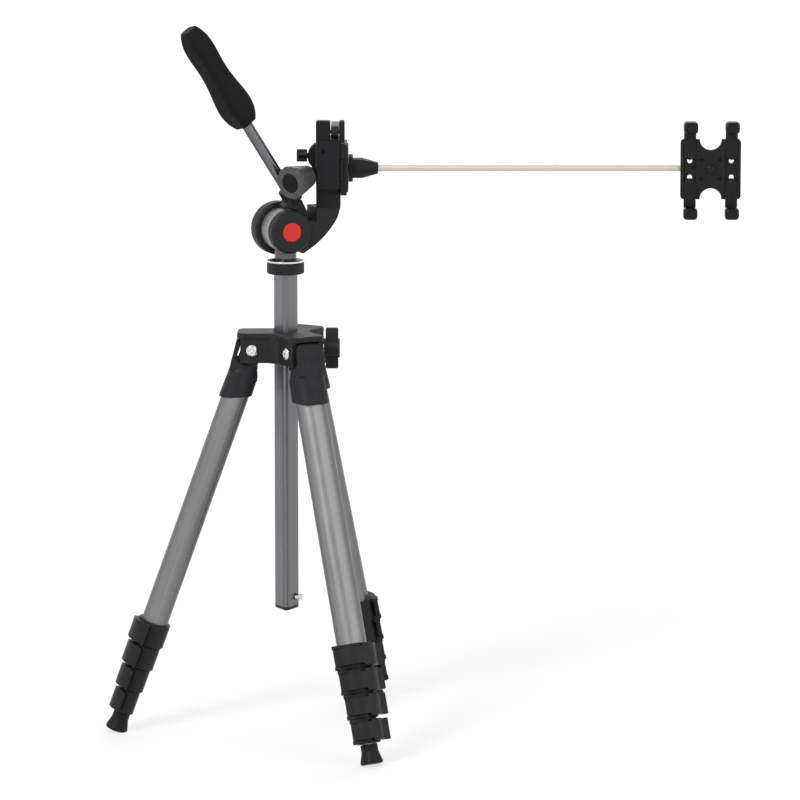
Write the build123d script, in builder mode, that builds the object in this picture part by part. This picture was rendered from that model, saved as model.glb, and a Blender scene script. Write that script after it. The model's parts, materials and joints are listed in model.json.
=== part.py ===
"""Compact travel tripod with a pan and tilt head, a side arm and a four-claw device holder.

Built round the column axis, with the floor at height zero and the arm pointing along +X, then moved
as a whole so that the origin is the middle of the bottom of its box. Millimetres.
"""

import os
from math import cos, radians, sin, tan

from build123d import *

# Leg stance
LEG_NAMES = ("left_leg", "front_leg", "rear_leg")
FIRST_LEG_AZIMUTH = 180.0
LEG_COUNT = len(LEG_NAMES)
HINGE_RADIUS = 29.0
HINGE_HEIGHT = 340.0
LEG_SPLAY = 19.7
LEG_LENGTH = HINGE_HEIGHT / cos(radians(LEG_SPLAY))

# Leg tubes: rounded oval sections, one inside the next
SECTION_COUNT = 5
TUBE_DEPTH = 23.0
TUBE_FLAT = 3.5
TUBE_WALL = 1.2
TUBE_CLEARANCE = 0.5
TUBE_STEP = 2 * (TUBE_WALL + TUBE_CLEARANCE)
INNER_TUBE_TOP = 38.0
FIXED_FIT = 0.05

# Leg shoulder, the black casting between the crown and the first tube
TONGUE_THICKNESS = 21.0
TONGUE_RADIUS = 9.0
TONGUE_CORNER = 4.5
TONGUE_END = 13.5
TAPER_END = 23.0
TAPER_ROUNDING = 0.4
SHOULDER_END = 44.0
SHOULDER_WALL = 2.3
SHOULDER_DRAFT = 0.8
SOCKET_FLOOR = 25.0
SHOULDER_EDGE = 1.0
HOOD_WIDTH = 25.0
HOOD_THICKNESS = 3.0
HOOD_CORNER = 5.0
HOOD_GAP = 0.6
HOOD_TOP_GAP = 1.8
RATCHET_RIB_RADIUS = 1.2
RATCHET_RIB_PITCH = 5.0
RATCHET_RIB_COUNT = 3
RATCHET_RIB_START = 15.0
RATCHET_RIB_LEAN = 1.6

# Flip-lock collars and levers
COLLARS_FROM_FLOOR = 105.0
COLLAR_START = LEG_LENGTH - COLLARS_FROM_FLOOR
COLLAR_HEIGHT = 21.1
COLLAR_GAP = 0.4
COLLAR_PITCH = COLLAR_HEIGHT + COLLAR_GAP
COLLAR_WALL = 2.8
COLLAR_LIP = 4.0
COLLAR_BORE_CLEARANCE = 0.4
COLLAR_EDGE = 0.7
LUG_HEIGHT = 3.0
LUG_RADIUS = 3.0
PIVOT_RADIUS = 1.3
PIVOT_CLEARANCE = 0.06
PIVOT_OUT = 4.0
KNUCKLE_RADIUS = 2.4
KNUCKLE_GAP = 0.4
LEVER_GAP = 0.6
LEVER_THICKNESS = 3.2
LEVER_END_GAP = 0.3
LEVER_START_OUT = 3.2
PADDLE_HEIGHT = 18.4
TAB_LENGTH = 4.5
TAB_THICKNESS = 2.6
LEVER_EDGE = 0.5

# Rubber foot
FOOT_NECK_RADIUS = 7.4
FOOT_NECK_LENGTH = 6.0
FOOT_END_RADIUS = 10.4
FOOT_END_EDGE = 1.8
FOOT_FLAT_DEPTH = 2.0
FOOT_NECK_GAP = 0.6
FOOT_TUBE_DEPTH = 4.5

# Crown
CROWN_BELOW_HINGE = 11.0
CROWN_ABOVE_HINGE = 15.0
CROWN_BOTTOM = HINGE_HEIGHT - CROWN_BELOW_HINGE
CROWN_TOP = HINGE_HEIGHT + CROWN_ABOVE_HINGE
CROWN_SLEEVE_RADIUS = 21.0
CHEEK_THICKNESS = 4.0
CHEEK_BEYOND_HINGE = 10.0
CHEEK_REACH = HINGE_RADIUS + CHEEK_BEYOND_HINGE
CHEEK_GAP = 0.4
BRIM_LIP = 3.0
BRIM_REACH = CHEEK_REACH + BRIM_LIP
BRIM_THICKNESS = 4.2
BRIM_OVERHANG = 1.6
BRIM_EDGE = 1.2
BRIM_CORNER = 7.0
POCKET_CLEARANCE = 1.6
LOCK_PAD_REACH = 32.4
LOCK_PAD_RADIUS = 9.0

# Hinge bolts
BOLT_RADIUS = 2.6
BOLT_HEAD_RADIUS = 5.0
BOLT_HEAD_THICKNESS = 2.0
BOLT_HEAD_EDGE = 0.8
BOLT_KEY_WIDTH = 3.2
BOLT_KEY_DEPTH = 1.2
BOLT_CLEARANCE = 0.06

# Column, a rounded triangle with one corner to the front
COLUMN_SIDE = 14.0
COLUMN_CORNER = 3.2
COLUMN_WALL = 1.5
COLUMN_RISE = 56.0
COLUMN_LENGTH = 298.0
COLUMN_TOP = CROWN_TOP + COLUMN_RISE
COLUMN_BOTTOM = COLUMN_TOP - COLUMN_LENGTH
COLUMN_FRONT_CORNER = -90.0
BUSH_WALL = 1.6
BUSH_CLEARANCE = 0.15
CAP_THICKNESS = 3.0
CAP_PLUG_LENGTH = 9.0
CAP_PLUG_CLEARANCE = 0.1
CAP_EDGE = 1.0
STOP_PIN_FROM_END = 7.0
STOP_PIN_HEIGHT = COLUMN_BOTTOM + STOP_PIN_FROM_END
STOP_PIN_RADIUS = 3.0
STOP_PIN_REACH = 13.8
STOP_PIN_SHANK_RADIUS = 1.8
STOP_PIN_EDGE = 0.8

# Column lock knob
LOCK_SCREW_RADIUS = 3.0
LOCK_SCREW_CLEARANCE = 0.08
LOCK_BUSH_GAP = 0.25
LOCK_KNOB_GAP = 0.8
LOCK_KNOB_START = LOCK_PAD_REACH + LOCK_KNOB_GAP
LOCK_KNOB_LENGTH = 13.6
LOCK_KNOB_HUB_RADIUS = 8.5
LOCK_KNOB_SPAN = 36.0
LOCK_KNOB_WING = 8.0
LOCK_KNOB_WING_LENGTH = 11.0
LOCK_KNOB_EDGE = 1.0
LOCK_KNOB_CORNER = 4.0
LOCK_SCREW_IN_KNOB = 8.0

# Top ring of the column
RING_RADIUS = 16.2
RING_GRIP = 5.5
RING_HEIGHT = 10.0
RING_BOTTOM = COLUMN_TOP - RING_GRIP
RING_TOP = RING_BOTTOM + RING_HEIGHT
RING_EDGE = 1.0
FLANGE_RADIUS = 15.9
FLANGE_THICKNESS = 1.5
FLANGE_CONE_HEIGHT = 1.2
FLANGE_TOP = RING_TOP + FLANGE_THICKNESS
FLANGE_CONE_TOP = FLANGE_TOP + FLANGE_CONE_HEIGHT
PAN_STUD_RADIUS = 4.5
PAN_STUD_LENGTH = 9.0
PAN_GAP = 0.3
PAN_STUD_CLEARANCE = 0.05

# Head: hub axis turned from straight towards the viewer
HUB_RISE = 24.8
HUB_HEIGHT = FLANGE_CONE_TOP + HUB_RISE
HEAD_YAW = 22.0
NECK_RADIUS = 9.5
BARREL_RADIUS = 18.5
BARREL_BACK = -10.0
BARREL_FRONT = 6.5
HUB_GAP = 0.5
HUB_ROOM = 0.8
YOKE_RING_RADIUS = 23.3
YOKE_RING_BACK = -24.0
YOKE_DISC_RADIUS = 18.5
YOKE_DISC_FRONT = 16.0
YOKE_EDGE = 1.6
YOKE_RECESS_RADIUS = 15.0
YOKE_RECESS_DEPTH = 3.0
TILT_AXLE_RADIUS = 4.0
TILT_AXLE_CLEARANCE = 0.05
TILT_AXLE_INSET = 4.0
BADGE_RADIUS = 8.3
BADGE_THICKNESS = 1.6
BADGE_PROUD = 0.6
BADGE_FIT = 0.1
BADGE_EDGE = 0.4
ARM_BACK = -13.0
ARM_FRONT = 11.0
ARM_LOW = (12.0, -19.7)
ARM_BELLY = (29.0, -8.2)
ARM_ELBOW = (44.0, 10.0)
ARM_OUTER = 47.0
ARM_INNER = 25.0
ARM_TOP = 19.7
ARM_CROTCH = 7.0

# Pan handle, in the plane of the head
HANDLE_AXIAL = -4.0
HANDLE_START = (10.6, 22.6)
HANDLE_LEAN = 32.4
HANDLE_RADIUS = 4.8
HANDLE_CLEARANCE = 0.08
SOCKET_RADIUS = 8.0
SOCKET_START = 2.0
SOCKET_LENGTH = 13.0
SOCKET_BORE_FLOOR = 2.0
SADDLE_POINTS = ((22.0, 2.0), (19.5, 15.0), (14.0, 26.0), (4.0, 27.5), (-2.0, 20.5), (-2.0, 12.0))
SADDLE_FRONT = 3.0
GRIP_START = 83.5
GRIP_END = 181.0
GRIP_STATIONS = (0.0, 0.10, 0.28, 0.52, 0.76, 0.92, 1.0)
GRIP_HALF_WIDTHS = (8.0, 11.9, 12.5, 9.9, 10.6, 9.2, 6.2)
GRIP_HALF_DEPTHS = (7.6, 11.0, 11.6, 9.8, 10.2, 8.8, 6.0)
GRIP_CORNER = 0.5
GRIP_TWIST = 24.0
ROD_IN_GRIP = 60.0
GRIP_BORE_FIT = 0.05

# Platform, tipped on its side, and the flip axle that carries it
ROD_RISE = 52.2
ROD_HEIGHT = HUB_HEIGHT + ROD_RISE
FLIP_X = 33.0
FLIP_Y = 14.4
FLIP_AXLE_RADIUS = 5.0
FLIP_AXLE_LENGTH = 13.0
FLIP_AXLE_CLEARANCE = 0.06
FLIP_GAP = 0.3
PLATFORM_BACK = 26.5
PLATFORM_FACE = 47.5
PLATFORM_HALF_WIDTH = 21.0
PLATFORM_NECK_HALF_WIDTH = 14.0
PLATFORM_NECK_BELOW_ROD = 16.2
PLATFORM_ABOVE_ROD = 25.8
PLATFORM_NECK_TOP = ROD_HEIGHT - PLATFORM_NECK_BELOW_ROD
PLATFORM_TOP = ROD_HEIGHT + PLATFORM_ABOVE_ROD
PLATFORM_EDGE = 2.0
POST_HEIGHT = 17.0
POST_TOP = PLATFORM_TOP + POST_HEIGHT
POST_WIDTH = 12.5
POST_LENGTH = 12.0
POST_EDGE = 1.8
LIP_START = 46.5
LIP_END = 51.3
LIP_OVERLAP = 2.0
LIP_BOTTOM = PLATFORM_TOP - LIP_OVERLAP
BOSS_RADIUS = 12.0
BOSS_X = 31.0
BOSS_ABOVE_ROD = 9.8
BOSS_Z = ROD_HEIGHT + BOSS_ABOVE_ROD
BOSS_LENGTH = 15.0
BOSS_Y = 22.0
PIN_HOLE_X = 33.0
PIN_HOLE_BELOW_TOP = 9.0
PIN_HOLE_Z = PLATFORM_TOP - PIN_HOLE_BELOW_TOP
PIN_HOLE_RADIUS = 1.3
PIN_HOLE_LENGTH = 2.0
PIN_HOLE_DEPTH = 3.0

# Quick-release lever across the top of the platform
LEVER_BAR_START = 39.5
LEVER_BAR_WIDTH = 6.5
LEVER_BAR_RADIUS = 5.6
LEVER_BAR_LENGTH = 36.0
LEVER_PIN_RADIUS = 1.6
LEVER_PIN_CLEARANCE = 0.06
LEVER_PIN_RISE = 7.0
LEVER_PIN_HEIGHT = PLATFORM_TOP + LEVER_PIN_RISE
LEVER_BAR_LIFT = 0.8

# Quick-release plate, pad and dovetail
PLATE_GAP = 0.3
PLATE_THICKNESS = 5.2
PLATE_BELOW_ROD = 21.7
PLATE_ABOVE_ROD = 22.5
PLATE_BOTTOM = ROD_HEIGHT - PLATE_BELOW_ROD
PLATE_TOP = ROD_HEIGHT + PLATE_ABOVE_ROD
PLATE_HALF_WIDTH = 20.0
PLATE_EDGE = 1.5
RAIL_HALF_WIDTH = 10.0
RAIL_UNDERCUT = 1.5
RAIL_CLEARANCE = 0.3
RAIL_DEPTH = 2.6
PAD_THICKNESS = 1.2
PAD_INSET = 2.5

# Grey flip lock knob with its black cap
FLIP_KNOB_FRONT_RISE = 43.0
FLIP_KNOB_BASE_RISE = 47.0
FLIP_KNOB_FRONT = (4.6, -20.0, HUB_HEIGHT + FLIP_KNOB_FRONT_RISE)
FLIP_KNOB_BASE = (19.2, -1.7, HUB_HEIGHT + FLIP_KNOB_BASE_RISE)
FLIP_KNOB_FRONT_RADIUS = 15.0
FLIP_KNOB_BASE_RADIUS = 9.6
FLIP_KNOB_FLUTES = 12
FLIP_KNOB_FLUTE_RADIUS = 1.5
FLIP_KNOB_EDGE = 1.2
FLIP_KNOB_STUD_RADIUS = 3.5
FLIP_KNOB_STUD_LENGTH = 9.0
FLIP_KNOB_STUD_CLEARANCE = 0.08
FLIP_KNOB_SEAT_RADIUS = 6.0
FLIP_KNOB_SEAT_DEPTH = 12.0
FLIP_CAP_RADIUS = 8.4
FLIP_CAP_THICKNESS = 1.6
FLIP_CAP_PROUD = 0.5
FLIP_CAP_FIT = 0.1
FLIP_CAP_EDGE = 0.5

# Small star screw behind the platform
STAR_HEIGHT = BOSS_Z
STAR_HUB_RADIUS = 3.8
STAR_LOBES = 5
STAR_LOBE_RADIUS = 1.7
STAR_LOBE_REACH = 4.0
STAR_START = 9.5
STAR_LENGTH = 9.0
STAR_STUD_RADIUS = 2.5
STAR_STUD_DEPTH = 5.0
STAR_STUD_CLEARANCE = 0.08
STAR_EDGE = 0.6

# Arm: ferrule and rod
ROD_RADIUS = 3.0
ROD_CLEARANCE = 0.06
FERRULE_FLANGE_RADIUS = 12.0
FERRULE_FLANGE_THICKNESS = 3.6
FERRULE_RADIUS = 9.0
FERRULE_TIP_RADIUS = 5.0
FERRULE_SHOULDER_LENGTH = 8.0
FERRULE_END = 80.0
FERRULE_SIDES = 12
FERRULE_SCREW_RADIUS = 3.1
FERRULE_SCREW_CLEARANCE = 0.08
FERRULE_SCREW_LENGTH = 4.0
FERRULE_GAP = 0.3
FERRULE_BORE_FLOOR = 2.0

# Holder plate, facing the viewer
HOLDER_X = 366.7
HOLDER_SIDE = 52.0
HOLDER_THICKNESS = 5.0
HOLDER_CORNER = 3.0
HOLDER_BACK_GAP = 0.4
HOLDER_CUT_RADIUS = 9.5
HOLDER_HOLE_COUNT = 4
HOLDER_HOLE_PCD = 23.0
HOLDER_HOLE_START = 45.0
HOLDER_HOLE_RADIUS = 1.7
HOLDER_SINK_RADIUS = 3.0
HOLDER_SINK_ANGLE = 90.0
HOLDER_PIVOT_RADIUS = 2.5
HOLDER_PIVOT_CLEARANCE = 0.06
HOLDER_PIVOT_HEAD_RADIUS = 3.6
HOLDER_PIVOT_HEAD_THICKNESS = 1.2
END_BLOCK_LENGTH = 15.0
END_BLOCK_SIDE = 10.5
END_BLOCK_EDGE = 1.2

# Claws in the plate's channels, each with a screw through a slot of the plate
CLAW_X = 17.9
CLAW_WIDTH = 10.4
CLAW_THICKNESS = 2.4
CHANNEL_CLEARANCE = 0.25
CLAW_INNER = 8.2
CLAW_HOOK_START = 33.0
CLAW_HOOK_END = 38.0
CLAW_HOOK_REACH = 13.0
CLAW_CAP_WIDTH = 12.4
CLAW_CAP_START = 32.0
CLAW_CAP_END = 42.4
CLAW_CAP_REACH = 15.5
CLAW_CAP_BACK = 1.2
CLAW_CAP_EDGE = 3.2
CLAW_EDGE = 0.6
CLAW_SCREW_AT = 11.6
CLAW_SCREW_RADIUS = 1.8
CLAW_SCREW_HEAD_RADIUS = 2.4
CLAW_SCREW_HEAD_THICKNESS = 0.5
CLAW_NUT_RADIUS = 3.6
CLAW_NUT_THICKNESS = 1.6
CLAW_NUT_GAP = 0.3
SLOT_RADIUS = 2.1
SLOT_START = 7.0
SLOT_END = 17.2

UP = Vector(0, 0, 1)
UPRIGHT = 90.0
HEX_SIDES = 6


def polar(azimuth, radius=1.0, height=0.0):
    """Point at an azimuth and radius round the column axis."""
    angle = radians(azimuth)
    return Vector(radius * cos(angle), radius * sin(angle), height)


def leg_azimuth(index):
    return FIRST_LEG_AZIMUTH + index * 360 / LEG_COUNT


def leg_plane(index):
    """Frame of one leg: x along the hinge, y outward, z down the leg from the hinge."""
    azimuth = leg_azimuth(index)
    down = polar(azimuth, sin(radians(LEG_SPLAY))) - UP * cos(radians(LEG_SPLAY))
    hinge = polar(azimuth, HINGE_RADIUS, HINGE_HEIGHT)
    return Plane(origin=hinge, x_dir=polar(azimuth + 90), z_dir=down)


HEAD = Plane(
    origin=(0, 0, HUB_HEIGHT),
    x_dir=polar(HEAD_YAW),
    z_dir=polar(HEAD_YAW - 90),
)
COLUMN_RADIUS = COLUMN_SIDE / (2 * sin(radians(60))) + 2 * COLUMN_CORNER


def tube_depth(section):
    """Radial size of a leg tube, counted from 1 at the top."""
    return TUBE_DEPTH - (section - 1) * TUBE_STEP


def tube_half_width(section):
    return (tube_depth(section) + TUBE_FLAT) / 2


def collar_start(section):
    return COLLAR_START + (section - 1) * COLLAR_PITCH


def column_section(height, grow):
    """Rounded triangle of the column, grown on every side."""
    with BuildSketch(Plane.XY.offset(height)) as section:
        RegularPolygon(COLUMN_RADIUS + 2 * grow, 3, rotation=COLUMN_FRONT_CORNER)
        fillet(section.vertices(), COLUMN_CORNER + grow)
    return section.sketch


def from_hinge(out, rise):
    """Point level outward and upright from the hinge, in the spread leg's own y and z."""
    splay = radians(LEG_SPLAY)
    return (out * cos(splay) + rise * sin(splay), out * sin(splay) - rise * cos(splay))


def make_hood(front):
    """Hood of the shoulder: covers the crown's fork, clear of it both spread and folded."""
    reach = CHEEK_REACH + HOOD_GAP - HINGE_RADIUS
    drop = HINGE_HEIGHT - CROWN_BOTTOM + HOOD_GAP
    top = CROWN_TOP - BRIM_THICKNESS - HOOD_TOP_GAP - HINGE_HEIGHT
    turn = reach * tan(radians(LEG_SPLAY / 2))
    highest = from_hinge(reach, top)
    with BuildPart() as hood:
        with BuildSketch(Plane.YZ):
            with BuildLine():
                Polyline(
                    highest,
                    from_hinge(reach + HOOD_THICKNESS / 2, top),
                    from_hinge(reach + HOOD_THICKNESS, top - HOOD_THICKNESS / 2),
                    (front, TAPER_END),
                    (0, TAPER_END),
                    (0, TONGUE_END + HOOD_THICKNESS / 2),
                    from_hinge(reach, -drop),
                    (reach, drop),
                    (reach, turn),
                    close=True,
                )
            make_face()
        extrude(amount=HOOD_WIDTH / 2, both=True)
        with BuildSketch(Plane.XZ):
            with Locations((0, (highest[1] + TAPER_END + HOOD_CORNER) / 2)):
                RectangleRounded(HOOD_WIDTH, TAPER_END + HOOD_CORNER - highest[1], HOOD_CORNER)
        extrude(amount=-2 * TUBE_DEPTH, mode=Mode.INTERSECT)
    return hood.part


def make_shoulder():
    """Black shoulder: hinge tongue with a hood before it, tube socket with a rim level on the spread leg."""
    width = 2 * (tube_half_width(1) + SHOULDER_WALL)
    depth = tube_depth(1) + 2 * SHOULDER_WALL
    corner = depth * TAPER_ROUNDING
    slim_width = width - 2 * SHOULDER_DRAFT
    slim_depth = depth - 2 * SHOULDER_DRAFT
    rim_end = SHOULDER_END + depth * tan(radians(LEG_SPLAY))
    floorward = Vector(0, -sin(radians(LEG_SPLAY)), cos(radians(LEG_SPLAY)))
    with BuildPart() as shoulder:
        with BuildSketch(Plane.YZ):
            Circle(TONGUE_RADIUS)
            with Locations((0, TONGUE_END / 2)):
                Rectangle(2 * TONGUE_RADIUS, TONGUE_END)
        extrude(amount=TONGUE_THICKNESS / 2, both=True)
        with BuildSketch(Plane.XY.offset(TONGUE_END)):
            RectangleRounded(TONGUE_THICKNESS, 2 * TONGUE_RADIUS, TONGUE_CORNER)
        with BuildSketch(Plane.XY.offset(TAPER_END)):
            RectangleRounded(slim_width, slim_depth, corner)
        loft()
        with BuildSketch(Plane.XY.offset(TAPER_END)):
            RectangleRounded(slim_width, slim_depth, corner)
        with BuildSketch(Plane.XY.offset(rim_end)):
            RectangleRounded(width, depth, corner)
        loft()
        split(bisect_by=Plane(origin=(0, 0, SHOULDER_END), z_dir=floorward), keep=Keep.BOTTOM)
        fillet(shoulder.faces().sort_by(Axis((0, 0, 0), floorward))[-1].edges(), SHOULDER_EDGE)
        add(make_hood(slim_depth / 2))
        with Locations(*[
            (0, -TONGUE_RADIUS - rib * RATCHET_RIB_LEAN, RATCHET_RIB_START + rib * RATCHET_RIB_PITCH)
            for rib in range(RATCHET_RIB_COUNT)
        ]):
            Cylinder(RATCHET_RIB_RADIUS, TONGUE_THICKNESS / 2, rotation=(0, 90, 0))
        with BuildSketch(Plane.XY.offset(SOCKET_FLOOR)):
            SlotCenterToCenter(TUBE_FLAT, tube_depth(1) + 2 * FIXED_FIT)
        extrude(amount=rim_end - SOCKET_FLOOR, mode=Mode.SUBTRACT)
        Cylinder(
            BOLT_RADIUS + BOLT_CLEARANCE,
            2 * TONGUE_THICKNESS,
            rotation=(0, 90, 0),
            mode=Mode.SUBTRACT,
        )
    return [shoulder.part]


def make_tube(section):
    """One leg tube; the last one runs into the foot."""
    top = SOCKET_FLOOR + FIXED_FIT if section == 1 else INNER_TUBE_TOP
    if section < SECTION_COUNT:
        end = collar_start(section) + COLLAR_HEIGHT - COLLAR_LIP
    else:
        end = collar_start(section) + FOOT_TUBE_DEPTH
    with BuildPart() as tube:
        with BuildSketch(Plane.XY.offset(top)):
            SlotCenterToCenter(TUBE_FLAT, tube_depth(section))
            SlotCenterToCenter(TUBE_FLAT, tube_depth(section) - 2 * TUBE_WALL, mode=Mode.SUBTRACT)
        extrude(amount=end - top)
    return tube.part


def pivot_x(section):
    """Place of a lever's pivot along the hinge direction."""
    return -(tube_half_width(section) + COLLAR_WALL + KNUCKLE_GAP + KNUCKLE_RADIUS)


def make_collar(section):
    """Flip-lock collar at the lower end of a tube, with the lugs and pin of its lever."""
    start = collar_start(section)
    pivot = (pivot_x(section), PIVOT_OUT)
    with BuildPart() as collar:
        with BuildSketch(Plane.XY.offset(start)):
            SlotCenterToCenter(TUBE_FLAT, tube_depth(section) + 2 * COLLAR_WALL)
        extrude(amount=COLLAR_HEIGHT)
        ends = collar.faces().filter_by(Axis.Z)
        chamfer(ends.edges(), COLLAR_EDGE)
        for lug_start in (start, start + COLLAR_HEIGHT - LUG_HEIGHT):
            with BuildSketch(Plane.XY.offset(lug_start)):
                with Locations(pivot):
                    Circle(LUG_RADIUS)
                with Locations((pivot[0] / 2, PIVOT_OUT)):
                    Rectangle(-pivot[0], 2 * LUG_RADIUS)
            extrude(amount=LUG_HEIGHT)
        with BuildSketch(Plane.XY.offset(start)):
            with Locations(pivot):
                Circle(PIVOT_RADIUS)
        extrude(amount=COLLAR_HEIGHT)
        with BuildSketch(Plane.XY.offset(start)):
            SlotCenterToCenter(TUBE_FLAT, tube_depth(section) + 2 * FIXED_FIT)
        extrude(amount=COLLAR_HEIGHT - COLLAR_LIP, mode=Mode.SUBTRACT)
        with BuildSketch(Plane.XY.offset(start)):
            SlotCenterToCenter(TUBE_FLAT, tube_depth(section + 1) + 2 * COLLAR_BORE_CLEARANCE)
        extrude(amount=COLLAR_HEIGHT, mode=Mode.SUBTRACT)
    return collar.part


def make_foot():
    """Bell-shaped rubber foot on the last tube, cut flat where it stands on the floor."""
    start = collar_start(SECTION_COUNT) + FOOT_NECK_GAP
    lean = radians(LEG_SPLAY)
    end = (HINGE_HEIGHT - FOOT_END_RADIUS * sin(lean) + FOOT_FLAT_DEPTH) / cos(lean)
    floor_normal = Vector(0, sin(lean), -cos(lean))
    with BuildPart() as foot:
        with BuildSketch(Plane.XY.offset(start)):
            Circle(FOOT_NECK_RADIUS)
        extrude(amount=FOOT_NECK_LENGTH)
        with BuildSketch(Plane.XY.offset(start + FOOT_NECK_LENGTH)):
            Circle(FOOT_NECK_RADIUS)
        with BuildSketch(Plane.XY.offset(end)):
            Circle(FOOT_END_RADIUS)
        loft()
        fillet(foot.faces().sort_by(Axis.Z)[-1].edges(), FOOT_END_EDGE)
        split(bisect_by=Plane(origin=(0, 0, LEG_LENGTH), z_dir=floor_normal), keep=Keep.TOP)
        with BuildSketch(Plane.XY.offset(start)):
            SlotCenterToCenter(TUBE_FLAT, tube_depth(SECTION_COUNT) + 2 * FIXED_FIT)
        extrude(amount=FOOT_TUBE_DEPTH + FIXED_FIT - FOOT_NECK_GAP, mode=Mode.SUBTRACT)
    return foot.part


def make_section(section):
    """A leg tube with the collar or foot that is fixed to its lower end."""
    end_piece = make_collar(section) if section < SECTION_COUNT else make_foot()
    return [make_tube(section), end_piece]


def make_lever(section):
    """Flip lever: a band round the outer side of the collar, on a knuckle at one end."""
    start = collar_start(section) + LUG_HEIGHT + LEVER_END_GAP
    height = COLLAR_HEIGHT - 2 * (LUG_HEIGHT + LEVER_END_GAP)
    paddle_start = collar_start(section) + (COLLAR_HEIGHT - PADDLE_HEIGHT) / 2
    inner = tube_depth(section) + 2 * (COLLAR_WALL + LEVER_GAP)
    outer = inner + 2 * LEVER_THICKNESS
    half_width = (outer + TUBE_FLAT) / 2
    pivot = (pivot_x(section), PIVOT_OUT)
    with BuildPart() as lever:
        with BuildSketch(Plane.XY.offset(start)):
            SlotCenterToCenter(TUBE_FLAT, outer)
            SlotCenterToCenter(TUBE_FLAT, inner, mode=Mode.SUBTRACT)
            with Locations((0, LEVER_START_OUT)):
                Rectangle(
                    2 * half_width,
                    outer,
                    align=(Align.CENTER, Align.MIN),
                    mode=Mode.INTERSECT,
                )
            with Locations(pivot):
                Circle(KNUCKLE_RADIUS)
                Circle(PIVOT_RADIUS + PIVOT_CLEARANCE, mode=Mode.SUBTRACT)
        extrude(amount=height)
        with BuildSketch(Plane.XY.offset(paddle_start)):
            SlotCenterToCenter(TUBE_FLAT, outer)
            SlotCenterToCenter(TUBE_FLAT, inner, mode=Mode.SUBTRACT)
            with Locations((0, LEVER_START_OUT)):
                Rectangle(
                    half_width,
                    outer,
                    align=(Align.MIN, Align.MIN),
                    mode=Mode.INTERSECT,
                )
            with Locations((half_width - LEVER_THICKNESS, LEVER_START_OUT)):
                Rectangle(
                    LEVER_THICKNESS + TAB_LENGTH,
                    TAB_THICKNESS,
                    align=(Align.MIN, Align.MIN),
                )
        extrude(amount=PADDLE_HEIGHT)
        chamfer(lever.faces().filter_by(Axis.Z).sort_by(Axis.Z)[-1].outer_wire().edges(), LEVER_EDGE)
    return [lever.part]


def make_crown():
    """Crown: sleeve round the column, three pairs of cheeks with a brim over each leg."""
    cheek_inner = TONGUE_THICKNESS / 2 + CHEEK_GAP
    cheek_middle = cheek_inner + CHEEK_THICKNESS / 2
    brim_width = 2 * (cheek_inner + CHEEK_THICKNESS + BRIM_OVERHANG)
    pocket_start = HINGE_RADIUS - TONGUE_RADIUS - POCKET_CLEARANCE
    height = CROWN_TOP - CROWN_BOTTOM
    with BuildPart() as crown:
        with BuildSketch(Plane.XY.offset(CROWN_BOTTOM)):
            Circle(CROWN_SLEEVE_RADIUS)
            with PolarLocations(0, LEG_COUNT, start_angle=FIRST_LEG_AZIMUTH):
                with Locations((CHEEK_REACH / 2, cheek_middle), (CHEEK_REACH / 2, -cheek_middle)):
                    Rectangle(CHEEK_REACH, CHEEK_THICKNESS)
        extrude(amount=height)
        with BuildSketch(Plane.XY.offset(CROWN_TOP - BRIM_THICKNESS)):
            with PolarLocations(0, LEG_COUNT, start_angle=FIRST_LEG_AZIMUTH):
                with Locations((BRIM_REACH / 2, 0)):
                    RectangleRounded(BRIM_REACH, brim_width, BRIM_CORNER)
        extrude(amount=BRIM_THICKNESS)
        chamfer(crown.faces().sort_by(Axis.Z)[-1].edges(), BRIM_EDGE)
        with BuildSketch(Plane.XY.offset(CROWN_BOTTOM)):
            with PolarLocations(0, LEG_COUNT, start_angle=FIRST_LEG_AZIMUTH):
                with Locations((pocket_start, 0)):
                    Rectangle(BRIM_REACH, 2 * cheek_inner, align=(Align.MIN, Align.CENTER))
        extrude(amount=height - BRIM_THICKNESS, mode=Mode.SUBTRACT)
        with BuildSketch(Plane.YZ):
            with Locations((0, HINGE_HEIGHT)):
                Circle(LOCK_PAD_RADIUS)
        extrude(amount=LOCK_PAD_REACH)
        extrude(column_section(CROWN_BOTTOM, BUSH_CLEARANCE + BUSH_WALL), amount=height, mode=Mode.SUBTRACT)
        with BuildSketch(Plane.YZ):
            with Locations((0, HINGE_HEIGHT)):
                Circle(LOCK_SCREW_RADIUS + LOCK_SCREW_CLEARANCE)
        extrude(amount=LOCK_PAD_REACH, mode=Mode.SUBTRACT)
        for index in range(LEG_COUNT):
            azimuth = leg_azimuth(index)
            hinge = Plane(polar(azimuth, HINGE_RADIUS, HINGE_HEIGHT), x_dir=UP, z_dir=polar(azimuth + 90))
            with BuildSketch(hinge):
                Circle(BOLT_RADIUS + BOLT_CLEARANCE)
            extrude(amount=cheek_inner + 2 * CHEEK_THICKNESS, both=True, mode=Mode.SUBTRACT)
    return [crown.part]


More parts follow.
